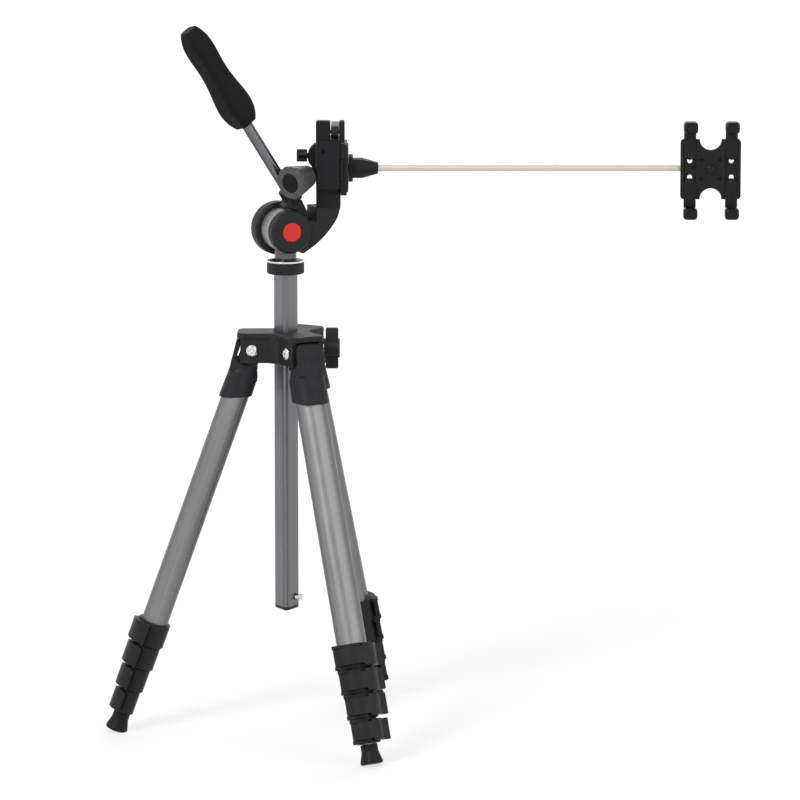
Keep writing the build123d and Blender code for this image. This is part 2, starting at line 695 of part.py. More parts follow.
def make_hinge_bolt(index):
    """Hinge bolt of one leg: shank, two domed heads and a hexagon key socket."""
    azimuth = leg_azimuth(index)
    reach = TONGUE_THICKNESS / 2 + CHEEK_GAP + CHEEK_THICKNESS
    hinge = Plane(polar(azimuth, HINGE_RADIUS, HINGE_HEIGHT), x_dir=UP, z_dir=polar(azimuth + 90))
    with BuildPart() as bolt:
        with BuildSketch(hinge):
            Circle(BOLT_RADIUS)
        extrude(amount=reach, both=True)
        with BuildSketch(hinge.offset(reach)):
            Circle(BOLT_HEAD_RADIUS)
        extrude(amount=BOLT_HEAD_THICKNESS)
        with BuildSketch(hinge.offset(-reach)):
            Circle(BOLT_HEAD_RADIUS)
        extrude(amount=-BOLT_HEAD_THICKNESS)
        axis = Axis(hinge.origin, hinge.z_dir)
        chamfer(bolt.faces().sort_by(axis)[-1].edges(), BOLT_HEAD_EDGE)
        chamfer(bolt.faces().sort_by(axis)[0].edges(), BOLT_HEAD_EDGE)
        for side in (1, -1):
            with BuildSketch(hinge.offset(side * (reach + BOLT_HEAD_THICKNESS))):
                RegularPolygon(BOLT_KEY_WIDTH, HEX_SIDES, major_radius=False)
            extrude(amount=-side * BOLT_KEY_DEPTH, mode=Mode.SUBTRACT)
    return bolt.part


def make_column_bush():
    """Plastic lining between the crown and the column."""
    with BuildPart() as bush:
        height = CROWN_TOP - CROWN_BOTTOM
        extrude(column_section(CROWN_BOTTOM, BUSH_CLEARANCE + BUSH_WALL - FIXED_FIT), amount=height)
        extrude(column_section(CROWN_BOTTOM, BUSH_CLEARANCE), amount=height, mode=Mode.SUBTRACT)
    return [bush.part]


def make_column_lock_knob():
    """Wing knob that clamps the column."""
    middle = LOCK_KNOB_START + LOCK_KNOB_LENGTH / 2
    with BuildPart() as knob:
        with BuildSketch(Plane.YZ.offset(LOCK_KNOB_START)):
            with Locations((0, HINGE_HEIGHT)):
                Circle(LOCK_KNOB_HUB_RADIUS)
        extrude(amount=LOCK_KNOB_LENGTH)
        with BuildSketch(Plane.YZ.offset(middle - LOCK_KNOB_WING_LENGTH / 2)):
            with Locations((0, HINGE_HEIGHT)):
                SlotOverall(LOCK_KNOB_SPAN, LOCK_KNOB_WING, rotation=UPRIGHT)
        extrude(amount=LOCK_KNOB_WING_LENGTH)
        fillet(knob.faces().sort_by(Axis.X)[-1].edges(), LOCK_KNOB_EDGE)
        with BuildSketch(Plane.XZ):
            with Locations((middle, HINGE_HEIGHT)):
                RectangleRounded(LOCK_KNOB_LENGTH, LOCK_KNOB_SPAN, LOCK_KNOB_CORNER)
        extrude(amount=LOCK_KNOB_SPAN, both=True, mode=Mode.INTERSECT)
        with BuildSketch(Plane.YZ.offset(LOCK_KNOB_START)):
            with Locations((0, HINGE_HEIGHT)):
                Circle(LOCK_SCREW_RADIUS + FIXED_FIT)
        extrude(amount=LOCK_SCREW_IN_KNOB, mode=Mode.SUBTRACT)
    return [knob.part]


def make_column_lock_screw():
    """Steel screw in the wing knob, ending just short of the bush."""
    start = column_bush_flat() + LOCK_BUSH_GAP
    with BuildPart() as screw:
        with BuildSketch(Plane.YZ.offset(start)):
            with Locations((0, HINGE_HEIGHT)):
                Circle(LOCK_SCREW_RADIUS)
        extrude(amount=LOCK_KNOB_START + LOCK_SCREW_IN_KNOB - start)
    return [screw.part]


def column_bush_flat():
    """Reach of the bush along +X, where the triangle has no flat but a corner side."""
    outline = column_section(0, BUSH_CLEARANCE + BUSH_WALL)
    return outline.bounding_box().max.X


def make_center_column():
    """Hollow triangular column."""
    with BuildPart() as column:
        extrude(column_section(COLUMN_BOTTOM, 0), amount=COLUMN_TOP - COLUMN_BOTTOM)
        extrude(
            column_section(COLUMN_BOTTOM, -COLUMN_WALL),
            amount=COLUMN_TOP - COLUMN_BOTTOM,
            mode=Mode.SUBTRACT,
        )
        with BuildSketch(Plane.YZ):
            with Locations((0, STOP_PIN_HEIGHT)):
                Circle(STOP_PIN_SHANK_RADIUS + FIXED_FIT)
        extrude(amount=STOP_PIN_REACH, mode=Mode.SUBTRACT)
    return [column.part]


def make_column_bottom_cap():
    """Black plug in the lower end of the column."""
    with BuildPart() as cap:
        extrude(column_section(COLUMN_BOTTOM - CAP_THICKNESS, 0), amount=CAP_THICKNESS)
        chamfer(cap.faces().sort_by(Axis.Z)[0].edges(), CAP_EDGE)
        extrude(
            column_section(COLUMN_BOTTOM, -COLUMN_WALL - CAP_PLUG_CLEARANCE),
            amount=CAP_PLUG_LENGTH,
        )
        with BuildSketch(Plane.YZ):
            with Locations((0, STOP_PIN_HEIGHT)):
                Circle(STOP_PIN_SHANK_RADIUS + FIXED_FIT)
        extrude(amount=STOP_PIN_REACH, mode=Mode.SUBTRACT)
    return [cap.part]


def make_column_stop_pin():
    """Steel shoulder pin that stops the column from being pulled out of the crown."""
    head_start = column_section(0, 0).bounding_box().max.X + FIXED_FIT
    with BuildPart() as pin:
        with BuildSketch(Plane.YZ):
            with Locations((0, STOP_PIN_HEIGHT)):
                Circle(STOP_PIN_SHANK_RADIUS)
        extrude(amount=head_start)
        with BuildSketch(Plane.YZ.offset(head_start)):
            with Locations((0, STOP_PIN_HEIGHT)):
                Circle(STOP_PIN_RADIUS)
        extrude(amount=STOP_PIN_REACH - head_start)
        chamfer(pin.faces().sort_by(Axis.X)[-1].edges(), STOP_PIN_EDGE)
    return [pin.part]


def make_column_top_ring():
    """Black ring on top of the column, its thin bright flange and the low cone above."""
    with BuildPart() as ring:
        with BuildSketch(Plane.XY.offset(RING_BOTTOM)):
            Circle(RING_RADIUS)
        extrude(amount=RING_TOP - RING_BOTTOM)
        chamfer(ring.faces().filter_by(Axis.Z).edges(), RING_EDGE)
        with BuildSketch(Plane.XY.offset(RING_TOP)):
            Circle(FLANGE_RADIUS)
        extrude(amount=FLANGE_TOP - RING_TOP)
        with BuildSketch(Plane.XY.offset(FLANGE_TOP)):
            Circle(FLANGE_RADIUS)
        with BuildSketch(Plane.XY.offset(FLANGE_CONE_TOP)):
            Circle(NECK_RADIUS)
        loft()
        extrude(
            column_section(RING_BOTTOM, FIXED_FIT),
            amount=COLUMN_TOP - RING_BOTTOM + FIXED_FIT,
            mode=Mode.SUBTRACT,
        )
        with BuildSketch(Plane.XY.offset(FLANGE_CONE_TOP)):
            Circle(PAN_STUD_RADIUS + PAN_STUD_CLEARANCE)
        extrude(amount=-PAN_STUD_LENGTH - PAN_GAP, mode=Mode.SUBTRACT)
    return [ring.part]


def make_head_neck():
    """Bright pillar that turns on the column ring and carries the barrel."""
    base = FLANGE_CONE_TOP + PAN_GAP
    shoulder = HUB_HEIGHT - BARREL_RADIUS - HUB_ROOM
    saddle = polar(HEAD_YAW - 90, (BARREL_BACK + BARREL_FRONT) / 2)
    with BuildPart() as neck:
        with BuildSketch(Plane.XY.offset(base)):
            Circle(NECK_RADIUS)
        extrude(amount=shoulder - base)
        with BuildSketch(Plane.XY.offset(shoulder)):
            Circle(NECK_RADIUS)
            with Locations((saddle.X, saddle.Y)):
                Rectangle(
                    2 * NECK_RADIUS,
                    BARREL_FRONT - BARREL_BACK,
                    rotation=HEAD_YAW,
                    mode=Mode.INTERSECT,
                )
        extrude(amount=HUB_HEIGHT - shoulder)
        with BuildSketch(Plane.XY.offset(base)):
            Circle(PAN_STUD_RADIUS)
        extrude(amount=-PAN_STUD_LENGTH)
        with BuildSketch(HEAD.offset(BARREL_BACK - NECK_RADIUS)):
            Circle(BARREL_RADIUS + FIXED_FIT)
        extrude(amount=BARREL_FRONT - BARREL_BACK + 2 * NECK_RADIUS, mode=Mode.SUBTRACT)
    return [neck.part]


def make_tilt_barrel():
    """Grey barrel on the neck, the fixed half of the tilt joint."""
    with BuildPart() as barrel:
        with BuildSketch(HEAD.offset(BARREL_BACK)):
            Circle(BARREL_RADIUS)
            Circle(TILT_AXLE_RADIUS + TILT_AXLE_CLEARANCE, mode=Mode.SUBTRACT)
        extrude(amount=BARREL_FRONT - BARREL_BACK)
    return [barrel.part]


def handle_plane():
    """Frame of the pan handle: z along the handle from its start at the hub."""
    lean = radians(HANDLE_LEAN)
    start = HEAD.from_local_coords((HANDLE_START[0], HANDLE_START[1], HANDLE_AXIAL))
    along = HEAD.x_dir * -sin(lean) + HEAD.y_dir * cos(lean)
    return Plane(origin=start, x_dir=HEAD.x_dir * cos(lean) + HEAD.y_dir * sin(lean), z_dir=along)


def make_tilt_yoke():
    """Tilting yoke: rear ring, front disc, hook arm, handle socket and flip axle."""
    handle = handle_plane()
    room_back = BARREL_BACK - HUB_GAP
    room_front = BARREL_FRONT + HUB_GAP
    with BuildPart() as yoke:
        with BuildSketch(HEAD.offset(YOKE_RING_BACK)):
            Circle(YOKE_RING_RADIUS)
        extrude(amount=room_back - YOKE_RING_BACK)
        chamfer(yoke.edges(), YOKE_EDGE)
        with BuildSketch(HEAD.offset(ARM_BACK)):
            with BuildLine():
                ThreePointArc(ARM_LOW, ARM_BELLY, ARM_ELBOW)
                Polyline(ARM_ELBOW, (ARM_OUTER, ARM_TOP), (ARM_INNER, ARM_TOP), (ARM_INNER, ARM_CROTCH))
                Polyline((ARM_INNER, ARM_CROTCH), (0, ARM_CROTCH), (0, 0), ARM_LOW)
            make_face()
        extrude(amount=ARM_FRONT - ARM_BACK)
        with BuildSketch(HEAD.offset(ARM_BACK)):
            with BuildLine():
                Polyline(*SADDLE_POINTS, close=True)
            make_face()
        extrude(amount=SADDLE_FRONT - ARM_BACK)
        with BuildSketch(handle.offset(SOCKET_START)):
            Circle(SOCKET_RADIUS)
        extrude(amount=SOCKET_LENGTH)
        with BuildSketch(HEAD.offset(room_back)):
            Circle(BARREL_RADIUS + HUB_ROOM)
        extrude(amount=room_front - room_back, mode=Mode.SUBTRACT)
        with BuildSketch(HEAD.offset(room_front)):
            Circle(YOKE_DISC_RADIUS)
        disc = extrude(amount=YOKE_DISC_FRONT - room_front)
        chamfer(disc.faces().sort_by(Axis(HEAD.origin, HEAD.z_dir))[-1].edges(), YOKE_EDGE)
        with BuildSketch(handle.offset(SOCKET_START + SOCKET_BORE_FLOOR)):
            Circle(HANDLE_RADIUS + HANDLE_CLEARANCE)
        extrude(amount=SOCKET_LENGTH, mode=Mode.SUBTRACT)
        with BuildSketch(HEAD.offset(YOKE_RING_BACK)):
            Circle(YOKE_RECESS_RADIUS)
        extrude(amount=YOKE_RECESS_DEPTH, mode=Mode.SUBTRACT)
        with BuildSketch(HEAD.offset(YOKE_RING_BACK)):
            Circle(TILT_AXLE_RADIUS + FIXED_FIT)
        extrude(amount=YOKE_DISC_FRONT - TILT_AXLE_INSET - YOKE_RING_BACK, mode=Mode.SUBTRACT)
        with BuildSketch(HEAD.offset(YOKE_DISC_FRONT - BADGE_THICKNESS + BADGE_PROUD)):
            Circle(BADGE_RADIUS + BADGE_FIT)
        extrude(amount=BADGE_THICKNESS, mode=Mode.SUBTRACT)
        with BuildSketch(Plane.XY.offset(HUB_HEIGHT + ARM_TOP)):
            with Locations((FLIP_X, FLIP_Y)):
                Circle(FLIP_AXLE_RADIUS)
        extrude(amount=FLIP_AXLE_LENGTH)
    return [yoke.part]


def make_tilt_axle():
    """Steel axle through the hub, fixed in the yoke and turning in the barrel."""
    start = YOKE_RING_BACK + YOKE_RECESS_DEPTH
    with BuildPart() as axle:
        with BuildSketch(HEAD.offset(start)):
            Circle(TILT_AXLE_RADIUS)
        extrude(amount=YOKE_DISC_FRONT - TILT_AXLE_INSET - FIXED_FIT - start)
    return [axle.part]


def make_hub_badge():
    """Plain red disc let into the middle of the front disc."""
    with BuildPart() as badge:
        with BuildSketch(HEAD.offset(YOKE_DISC_FRONT - BADGE_THICKNESS + BADGE_PROUD)):
            Circle(BADGE_RADIUS)
        extrude(amount=BADGE_THICKNESS)
        fillet(badge.faces().sort_by(Axis(HEAD.origin, HEAD.z_dir))[-1].edges(), BADGE_EDGE)
    return [badge.part]


def make_handle_rod():
    """Round rod of the pan handle."""
    start = SOCKET_START + SOCKET_BORE_FLOOR + FIXED_FIT
    with BuildPart() as rod:
        with BuildSketch(handle_plane().offset(start)):
            Circle(HANDLE_RADIUS)
        extrude(amount=GRIP_START + ROD_IN_GRIP - start)
    return [rod.part]


def make_handle_grip():
    """Waisted grip, lofted through rounded sections along the rod."""
    rod = handle_plane()
    twist = radians(GRIP_TWIST)
    handle = Plane(rod.origin, x_dir=rod.x_dir * cos(twist) + rod.y_dir * sin(twist), z_dir=rod.z_dir)
    length = GRIP_END - GRIP_START
    with BuildPart() as grip:
        for station, width, depth in zip(GRIP_STATIONS, GRIP_HALF_WIDTHS, GRIP_HALF_DEPTHS):
            with BuildSketch(handle.offset(GRIP_START + station * length)):
                RectangleRounded(2 * width, 2 * depth, GRIP_CORNER * depth)
        loft()
        with BuildSketch(handle.offset(GRIP_START)):
            Circle(HANDLE_RADIUS + GRIP_BORE_FIT)
        extrude(amount=ROD_IN_GRIP + GRIP_BORE_FIT, mode=Mode.SUBTRACT)
    return [grip.part]


def knob_plane():
    """Frame of the flip lock knob: z along its axis from the platform outwards."""
    front = Vector(*FLIP_KNOB_FRONT)
    base = Vector(*FLIP_KNOB_BASE)
    return Plane(origin=base, x_dir=UP, z_dir=(front - base).normalized())


def knob_length():
    return (Vector(*FLIP_KNOB_FRONT) - Vector(*FLIP_KNOB_BASE)).length


def rail_outline(grow):
    """Dovetail across the platform face, seen along Y: narrow at the face, wide at its crest."""
    face = PLATFORM_FACE
    crest = face + PLATE_GAP + RAIL_DEPTH + grow
    foot = RAIL_HALF_WIDTH - RAIL_UNDERCUT + grow
    head = RAIL_HALF_WIDTH + grow
    with BuildSketch(Plane.XZ.offset(-FLIP_Y - PLATFORM_HALF_WIDTH)) as outline:
        with BuildLine():
            Polyline(
                (face, ROD_HEIGHT - foot),
                (crest, ROD_HEIGHT - head),
                (crest, ROD_HEIGHT + head),
                (face, ROD_HEIGHT + foot),
                close=True,
            )
        make_face()
    return outline.sketch


def make_platform():
    """Platform on the flip axle, with its post, lip, round boss, knob seat and plate rail."""
    bottom = HUB_HEIGHT + ARM_TOP + FLIP_GAP
    depth = PLATFORM_FACE - PLATFORM_BACK
    middle = (PLATFORM_BACK + PLATFORM_FACE) / 2
    front_side = FLIP_Y - PLATFORM_HALF_WIDTH
    knob = knob_plane()
    with BuildPart() as platform:
        with BuildSketch(Plane.XY.offset(bottom)):
            with Locations((middle, FLIP_Y)):
                RectangleRounded(depth, 2 * PLATFORM_NECK_HALF_WIDTH, PLATFORM_EDGE)
        extrude(amount=PLATFORM_TOP - bottom)
        with BuildSketch(Plane.XY.offset(PLATFORM_NECK_TOP)):
            with Locations((middle, FLIP_Y)):
                RectangleRounded(depth, 2 * PLATFORM_HALF_WIDTH, PLATFORM_EDGE)
        extrude(amount=PLATFORM_TOP - PLATFORM_NECK_TOP)
        with BuildSketch(Plane.XZ.offset(-BOSS_Y - BOSS_LENGTH / 2)):
            with Locations((BOSS_X, BOSS_Z)):
                Circle(BOSS_RADIUS)
        extrude(amount=BOSS_LENGTH)
        with BuildSketch(Plane.XY.offset(PLATFORM_TOP)):
            with Locations((PLATFORM_BACK, front_side + PLATFORM_EDGE)):
                Rectangle(POST_WIDTH, POST_LENGTH, align=(Align.MIN, Align.MIN))
        extrude(amount=POST_TOP - PLATFORM_TOP)
        with BuildSketch(Plane.XY.offset(LIP_BOTTOM)):
            with Locations((LIP_START, front_side + PLATFORM_EDGE)):
                Rectangle(LIP_END - LIP_START, POST_LENGTH, align=(Align.MIN, Align.MIN))
        extrude(amount=POST_TOP - LIP_BOTTOM)
        fillet(platform.faces().sort_by(Axis.Z)[-2:].edges(), POST_EDGE)
        with BuildSketch(knob.offset(-FLIP_GAP)):
            Circle(FLIP_KNOB_SEAT_RADIUS)
        extrude(amount=-FLIP_KNOB_SEAT_DEPTH)
        extrude(rail_outline(0), amount=2 * PLATFORM_HALF_WIDTH)
        with BuildSketch(Plane.YZ.offset(PLATFORM_BACK + POST_WIDTH / 2)):
            with Locations((lever_pivot_y(), LEVER_PIN_HEIGHT)):
                Circle(LEVER_PIN_RADIUS)
        extrude(amount=LIP_END - PLATFORM_BACK - POST_WIDTH / 2)
        with BuildSketch(Plane.XY.offset(bottom)):
            with Locations((FLIP_X, FLIP_Y)):
                Circle(FLIP_AXLE_RADIUS + FLIP_AXLE_CLEARANCE)
        extrude(amount=FLIP_AXLE_LENGTH, mode=Mode.SUBTRACT)
        with BuildSketch(knob):
            Circle(FLIP_KNOB_STUD_RADIUS + FLIP_KNOB_STUD_CLEARANCE)
        extrude(amount=-FLIP_KNOB_STUD_LENGTH - FLIP_GAP, mode=Mode.SUBTRACT)
        with BuildSketch(Plane.YZ.offset(STAR_START + STAR_LENGTH)):
            with Locations((BOSS_Y, STAR_HEIGHT)):
                Circle(STAR_STUD_RADIUS + STAR_STUD_CLEARANCE)
        extrude(amount=STAR_STUD_DEPTH + FLIP_GAP, mode=Mode.SUBTRACT)
        with BuildSketch(Plane.XZ.offset(-front_side)):
            with Locations((PIN_HOLE_X, PIN_HOLE_Z)):
                SlotCenterToCenter(PIN_HOLE_LENGTH, 2 * PIN_HOLE_RADIUS, rotation=UPRIGHT)
        extrude(amount=-PIN_HOLE_DEPTH, mode=Mode.SUBTRACT)
    return [platform.part]


def lever_pivot_y():
    """Place of the quick-release lever's pin across the platform."""
    return FLIP_Y - PLATFORM_HALF_WIDTH + PLATFORM_EDGE + POST_LENGTH / 2


def make_flip_lock_knob():
    """Grey tapered knob with flutes, its stud in the platform seat."""
    knob_frame = knob_plane()
    length = knob_length()
    with BuildPart() as knob:
        with BuildSketch(knob_frame):
            Circle(FLIP_KNOB_BASE_RADIUS)
        with BuildSketch(knob_frame.offset(length)):
            Circle(FLIP_KNOB_FRONT_RADIUS)
        loft()
        chamfer(knob.faces().sort_by(Axis(knob_frame.origin, knob_frame.z_dir))[-1].edges(), FLIP_KNOB_EDGE)
        with BuildSketch(knob_frame.offset(-FLIP_GAP)):
            with PolarLocations(FLIP_KNOB_FRONT_RADIUS, FLIP_KNOB_FLUTES):
                Circle(FLIP_KNOB_FLUTE_RADIUS)
        extrude(amount=length + 2 * FLIP_GAP, mode=Mode.SUBTRACT)
        with BuildSketch(knob_frame.offset(length)):
            Circle(FLIP_CAP_RADIUS + FLIP_CAP_FIT)
        extrude(amount=FLIP_CAP_PROUD - FLIP_CAP_THICKNESS, mode=Mode.SUBTRACT)
        with BuildSketch(knob_frame):
            Circle(FLIP_KNOB_STUD_RADIUS)
        extrude(amount=-FLIP_KNOB_STUD_LENGTH)
    return [knob.part]


def make_flip_knob_cap():
    """Black cap in the front of the grey knob."""
    knob_frame = knob_plane()
    with BuildPart() as cap:
        with BuildSketch(knob_frame.offset(knob_length() + FLIP_CAP_PROUD - FLIP_CAP_THICKNESS)):
            Circle(FLIP_CAP_RADIUS)
        extrude(amount=FLIP_CAP_THICKNESS)
        fillet(cap.faces().sort_by(Axis(knob_frame.origin, knob_frame.z_dir))[-1].edges(), FLIP_CAP_EDGE)
    return [cap.part]


def make_clamp_star_screw():
    """Small star-headed screw in the boss behind the platform."""
    with BuildPart() as screw:
        with BuildSketch(Plane.YZ.offset(STAR_START)):
            with Locations((BOSS_Y, STAR_HEIGHT)):
                Circle(STAR_HUB_RADIUS)
                with PolarLocations(STAR_LOBE_REACH, STAR_LOBES, start_angle=UPRIGHT):
                    Circle(STAR_LOBE_RADIUS)
        extrude(amount=STAR_LENGTH)
        chamfer(screw.faces().sort_by(Axis.X)[0].edges(), STAR_EDGE)
        with BuildSketch(Plane.YZ.offset(STAR_START)):
            with Locations((BOSS_Y, STAR_HEIGHT)):
                Circle(STAR_STUD_RADIUS)
        extrude(amount=STAR_LENGTH + STAR_STUD_DEPTH)
    return [screw.part]


def make_qr_lever():
    """Quick-release lever on the pin between the platform's post and lip."""
    pivot = (lever_pivot_y(), LEVER_PIN_HEIGHT)
    with BuildPart() as lever:
        with BuildSketch(Plane.YZ.offset(LEVER_BAR_START)):
            with Locations(pivot):
                Circle(LEVER_BAR_RADIUS)
            with Locations((pivot[0], LEVER_PIN_HEIGHT)):
                Rectangle(
                    LEVER_BAR_LENGTH,
                    2 * LEVER_BAR_RADIUS - LEVER_BAR_LIFT,
                    align=(Align.MIN, Align.CENTER),
                )
        extrude(amount=LEVER_BAR_WIDTH)
        fillet(lever.faces().sort_by(Axis.Y)[-1].edges(), LEVER_BAR_LIFT)
        with BuildSketch(Plane.YZ.offset(LEVER_BAR_START)):
            with Locations(pivot):
                Circle(LEVER_PIN_RADIUS + LEVER_PIN_CLEARANCE)
        extrude(amount=LEVER_BAR_WIDTH, mode=Mode.SUBTRACT)
    return [lever.part]


PLATE_START = PLATFORM_FACE + PLATE_GAP
PLATE_END = PLATE_START + PLATE_THICKNESS
PAD_END = PLATE_END + PAD_THICKNESS
FERRULE_START = PAD_END + FERRULE_GAP


def make_qr_plate():
    """Quick-release plate with its dovetail groove, and the thin pad on its face."""
    height = PLATE_TOP - PLATE_BOTTOM
    center = (FLIP_Y, (PLATE_TOP + PLATE_BOTTOM) / 2)
    hole = FERRULE_SCREW_RADIUS + FERRULE_SCREW_CLEARANCE
    with BuildPart() as plate:
        with BuildSketch(Plane.YZ.offset(PLATE_START)):
            with Locations(center):
                RectangleRounded(2 * PLATE_HALF_WIDTH, height, PLATE_EDGE)
            with Locations((FLIP_Y, ROD_HEIGHT)):
                Circle(hole, mode=Mode.SUBTRACT)
        extrude(amount=PLATE_THICKNESS)
        extrude(rail_outline(RAIL_CLEARANCE), amount=2 * PLATFORM_HALF_WIDTH, mode=Mode.SUBTRACT)
    with BuildPart() as pad:
        with BuildSketch(Plane.YZ.offset(PLATE_END)):
            with Locations(center):
                RectangleRounded(2 * (PLATE_HALF_WIDTH - PAD_INSET), height - 2 * PAD_INSET, PLATE_EDGE)
            with Locations((FLIP_Y, ROD_HEIGHT)):
                Circle(hole, mode=Mode.SUBTRACT)
        extrude(amount=PAD_THICKNESS)
    return [plate.part, pad.part]


def rod_plane(x):
    """Section plane of the arm rod, facing along +X."""
    return Plane(origin=(x, FLIP_Y, ROD_HEIGHT), x_dir=(0, 1, 0), z_dir=(1, 0, 0))


def make_ferrule():
    """Faceted ferrule that screws into the plate and grips the rod."""
    body_start = FERRULE_START + FERRULE_FLANGE_THICKNESS
    with BuildPart() as ferrule:
        with BuildSketch(rod_plane(FERRULE_START)):
            Circle(FERRULE_FLANGE_RADIUS)
        extrude(amount=FERRULE_FLANGE_THICKNESS)
        with BuildSketch(rod_plane(body_start)):
            RegularPolygon(FERRULE_RADIUS, FERRULE_SIDES)
        extrude(amount=FERRULE_SHOULDER_LENGTH)
        with BuildSketch(rod_plane(body_start + FERRULE_SHOULDER_LENGTH)):
            RegularPolygon(FERRULE_RADIUS, FERRULE_SIDES)
        with BuildSketch(rod_plane(FERRULE_END)):
            RegularPolygon(FERRULE_TIP_RADIUS, FERRULE_SIDES)
        loft()
        with BuildSketch(rod_plane(FERRULE_START)):
            Circle(FERRULE_SCREW_RADIUS)
        extrude(amount=-FERRULE_SCREW_LENGTH)
        with BuildSketch(rod_plane(FERRULE_START + FERRULE_BORE_FLOOR)):
            Circle(ROD_RADIUS + ROD_CLEARANCE)
        extrude(amount=FERRULE_END - FERRULE_START, mode=Mode.SUBTRACT)
    return [ferrule.part]


def make_arm_rod():
    """Straight steel rod of the arm."""
    start = FERRULE_START + FERRULE_BORE_FLOOR + ROD_CLEARANCE
    with BuildPart() as rod:
        with BuildSketch(rod_plane(start)):
            Circle(ROD_RADIUS)
        extrude(amount=HOLDER_X - start)
    return [rod.part]


BLOCK_FRONT = FLIP_Y - END_BLOCK_SIDE / 2
HOLDER_BACK = BLOCK_FRONT - HOLDER_BACK_GAP
HOLDER_FRONT = HOLDER_BACK - HOLDER_THICKNESS


def holder_plane(y):
    """Plane parallel to the holder plate, facing the viewer."""
    return Plane(origin=(HOLDER_X, y, ROD_HEIGHT), x_dir=(1, 0, 0), z_dir=(0, -1, 0))


def make_rod_end_block():
    """Block on the end of the rod, with the pivot that carries the holder plate."""
    with BuildPart() as block:
        with BuildSketch(holder_plane(FLIP_Y + END_BLOCK_SIDE / 2)):
            RectangleRounded(END_BLOCK_LENGTH, END_BLOCK_SIDE, END_BLOCK_EDGE)
        extrude(amount=END_BLOCK_SIDE)
        with BuildSketch(holder_plane(BLOCK_FRONT)):
            Circle(HOLDER_PIVOT_RADIUS)
        extrude(amount=BLOCK_FRONT - HOLDER_FRONT + HOLDER_BACK_GAP)
        with BuildSketch(holder_plane(HOLDER_FRONT - HOLDER_BACK_GAP)):
            Circle(HOLDER_PIVOT_HEAD_RADIUS)
        extrude(amount=HOLDER_PIVOT_HEAD_THICKNESS)
        with BuildSketch(rod_plane(HOLDER_X - END_BLOCK_LENGTH)):
            Circle(ROD_RADIUS + FIXED_FIT)
        extrude(amount=END_BLOCK_LENGTH + FIXED_FIT, mode=Mode.SUBTRACT)
    return [block.part]


def make_holder_plate():
    """Holder plate with four countersunk holes, claw channels and the slots of the claws' screws."""
    half = HOLDER_SIDE / 2
    channel = CLAW_WIDTH + 2 * CHANNEL_CLEARANCE
    slot_middle = (SLOT_START + SLOT_END) / 2
    slot_places = [(x, z) for x in (CLAW_X, -CLAW_X) for z in (slot_middle, -slot_middle)]
    floor = HOLDER_FRONT + CLAW_THICKNESS + CHANNEL_CLEARANCE
    with BuildPart() as plate:
        with BuildSketch(holder_plane(HOLDER_BACK)):
            RectangleRounded(HOLDER_SIDE, HOLDER_SIDE, HOLDER_CORNER)
            with Locations((0, half), (0, -half)):
                Circle(HOLDER_CUT_RADIUS, mode=Mode.SUBTRACT)
            Circle(HOLDER_PIVOT_RADIUS + HOLDER_PIVOT_CLEARANCE, mode=Mode.SUBTRACT)
            with Locations(*slot_places):
                SlotCenterToCenter(
                    SLOT_END - SLOT_START,
                    2 * SLOT_RADIUS,
                    rotation=UPRIGHT,
                    mode=Mode.SUBTRACT,
                )
        extrude(amount=HOLDER_THICKNESS)
        with BuildSketch(holder_plane(HOLDER_FRONT)):
            with Locations((CLAW_X, 0), (-CLAW_X, 0)):
                Rectangle(channel, HOLDER_SIDE)
        extrude(amount=HOLDER_FRONT - floor, mode=Mode.SUBTRACT)
        with Locations(holder_plane(HOLDER_FRONT)):
            with PolarLocations(HOLDER_HOLE_PCD / 2, HOLDER_HOLE_COUNT, start_angle=HOLDER_HOLE_START):
                CounterSinkHole(
                    HOLDER_HOLE_RADIUS,
                    HOLDER_SINK_RADIUS,
                    depth=HOLDER_THICKNESS,
                    counter_sink_angle=HOLDER_SINK_ANGLE,
                )
    return [plate.part]


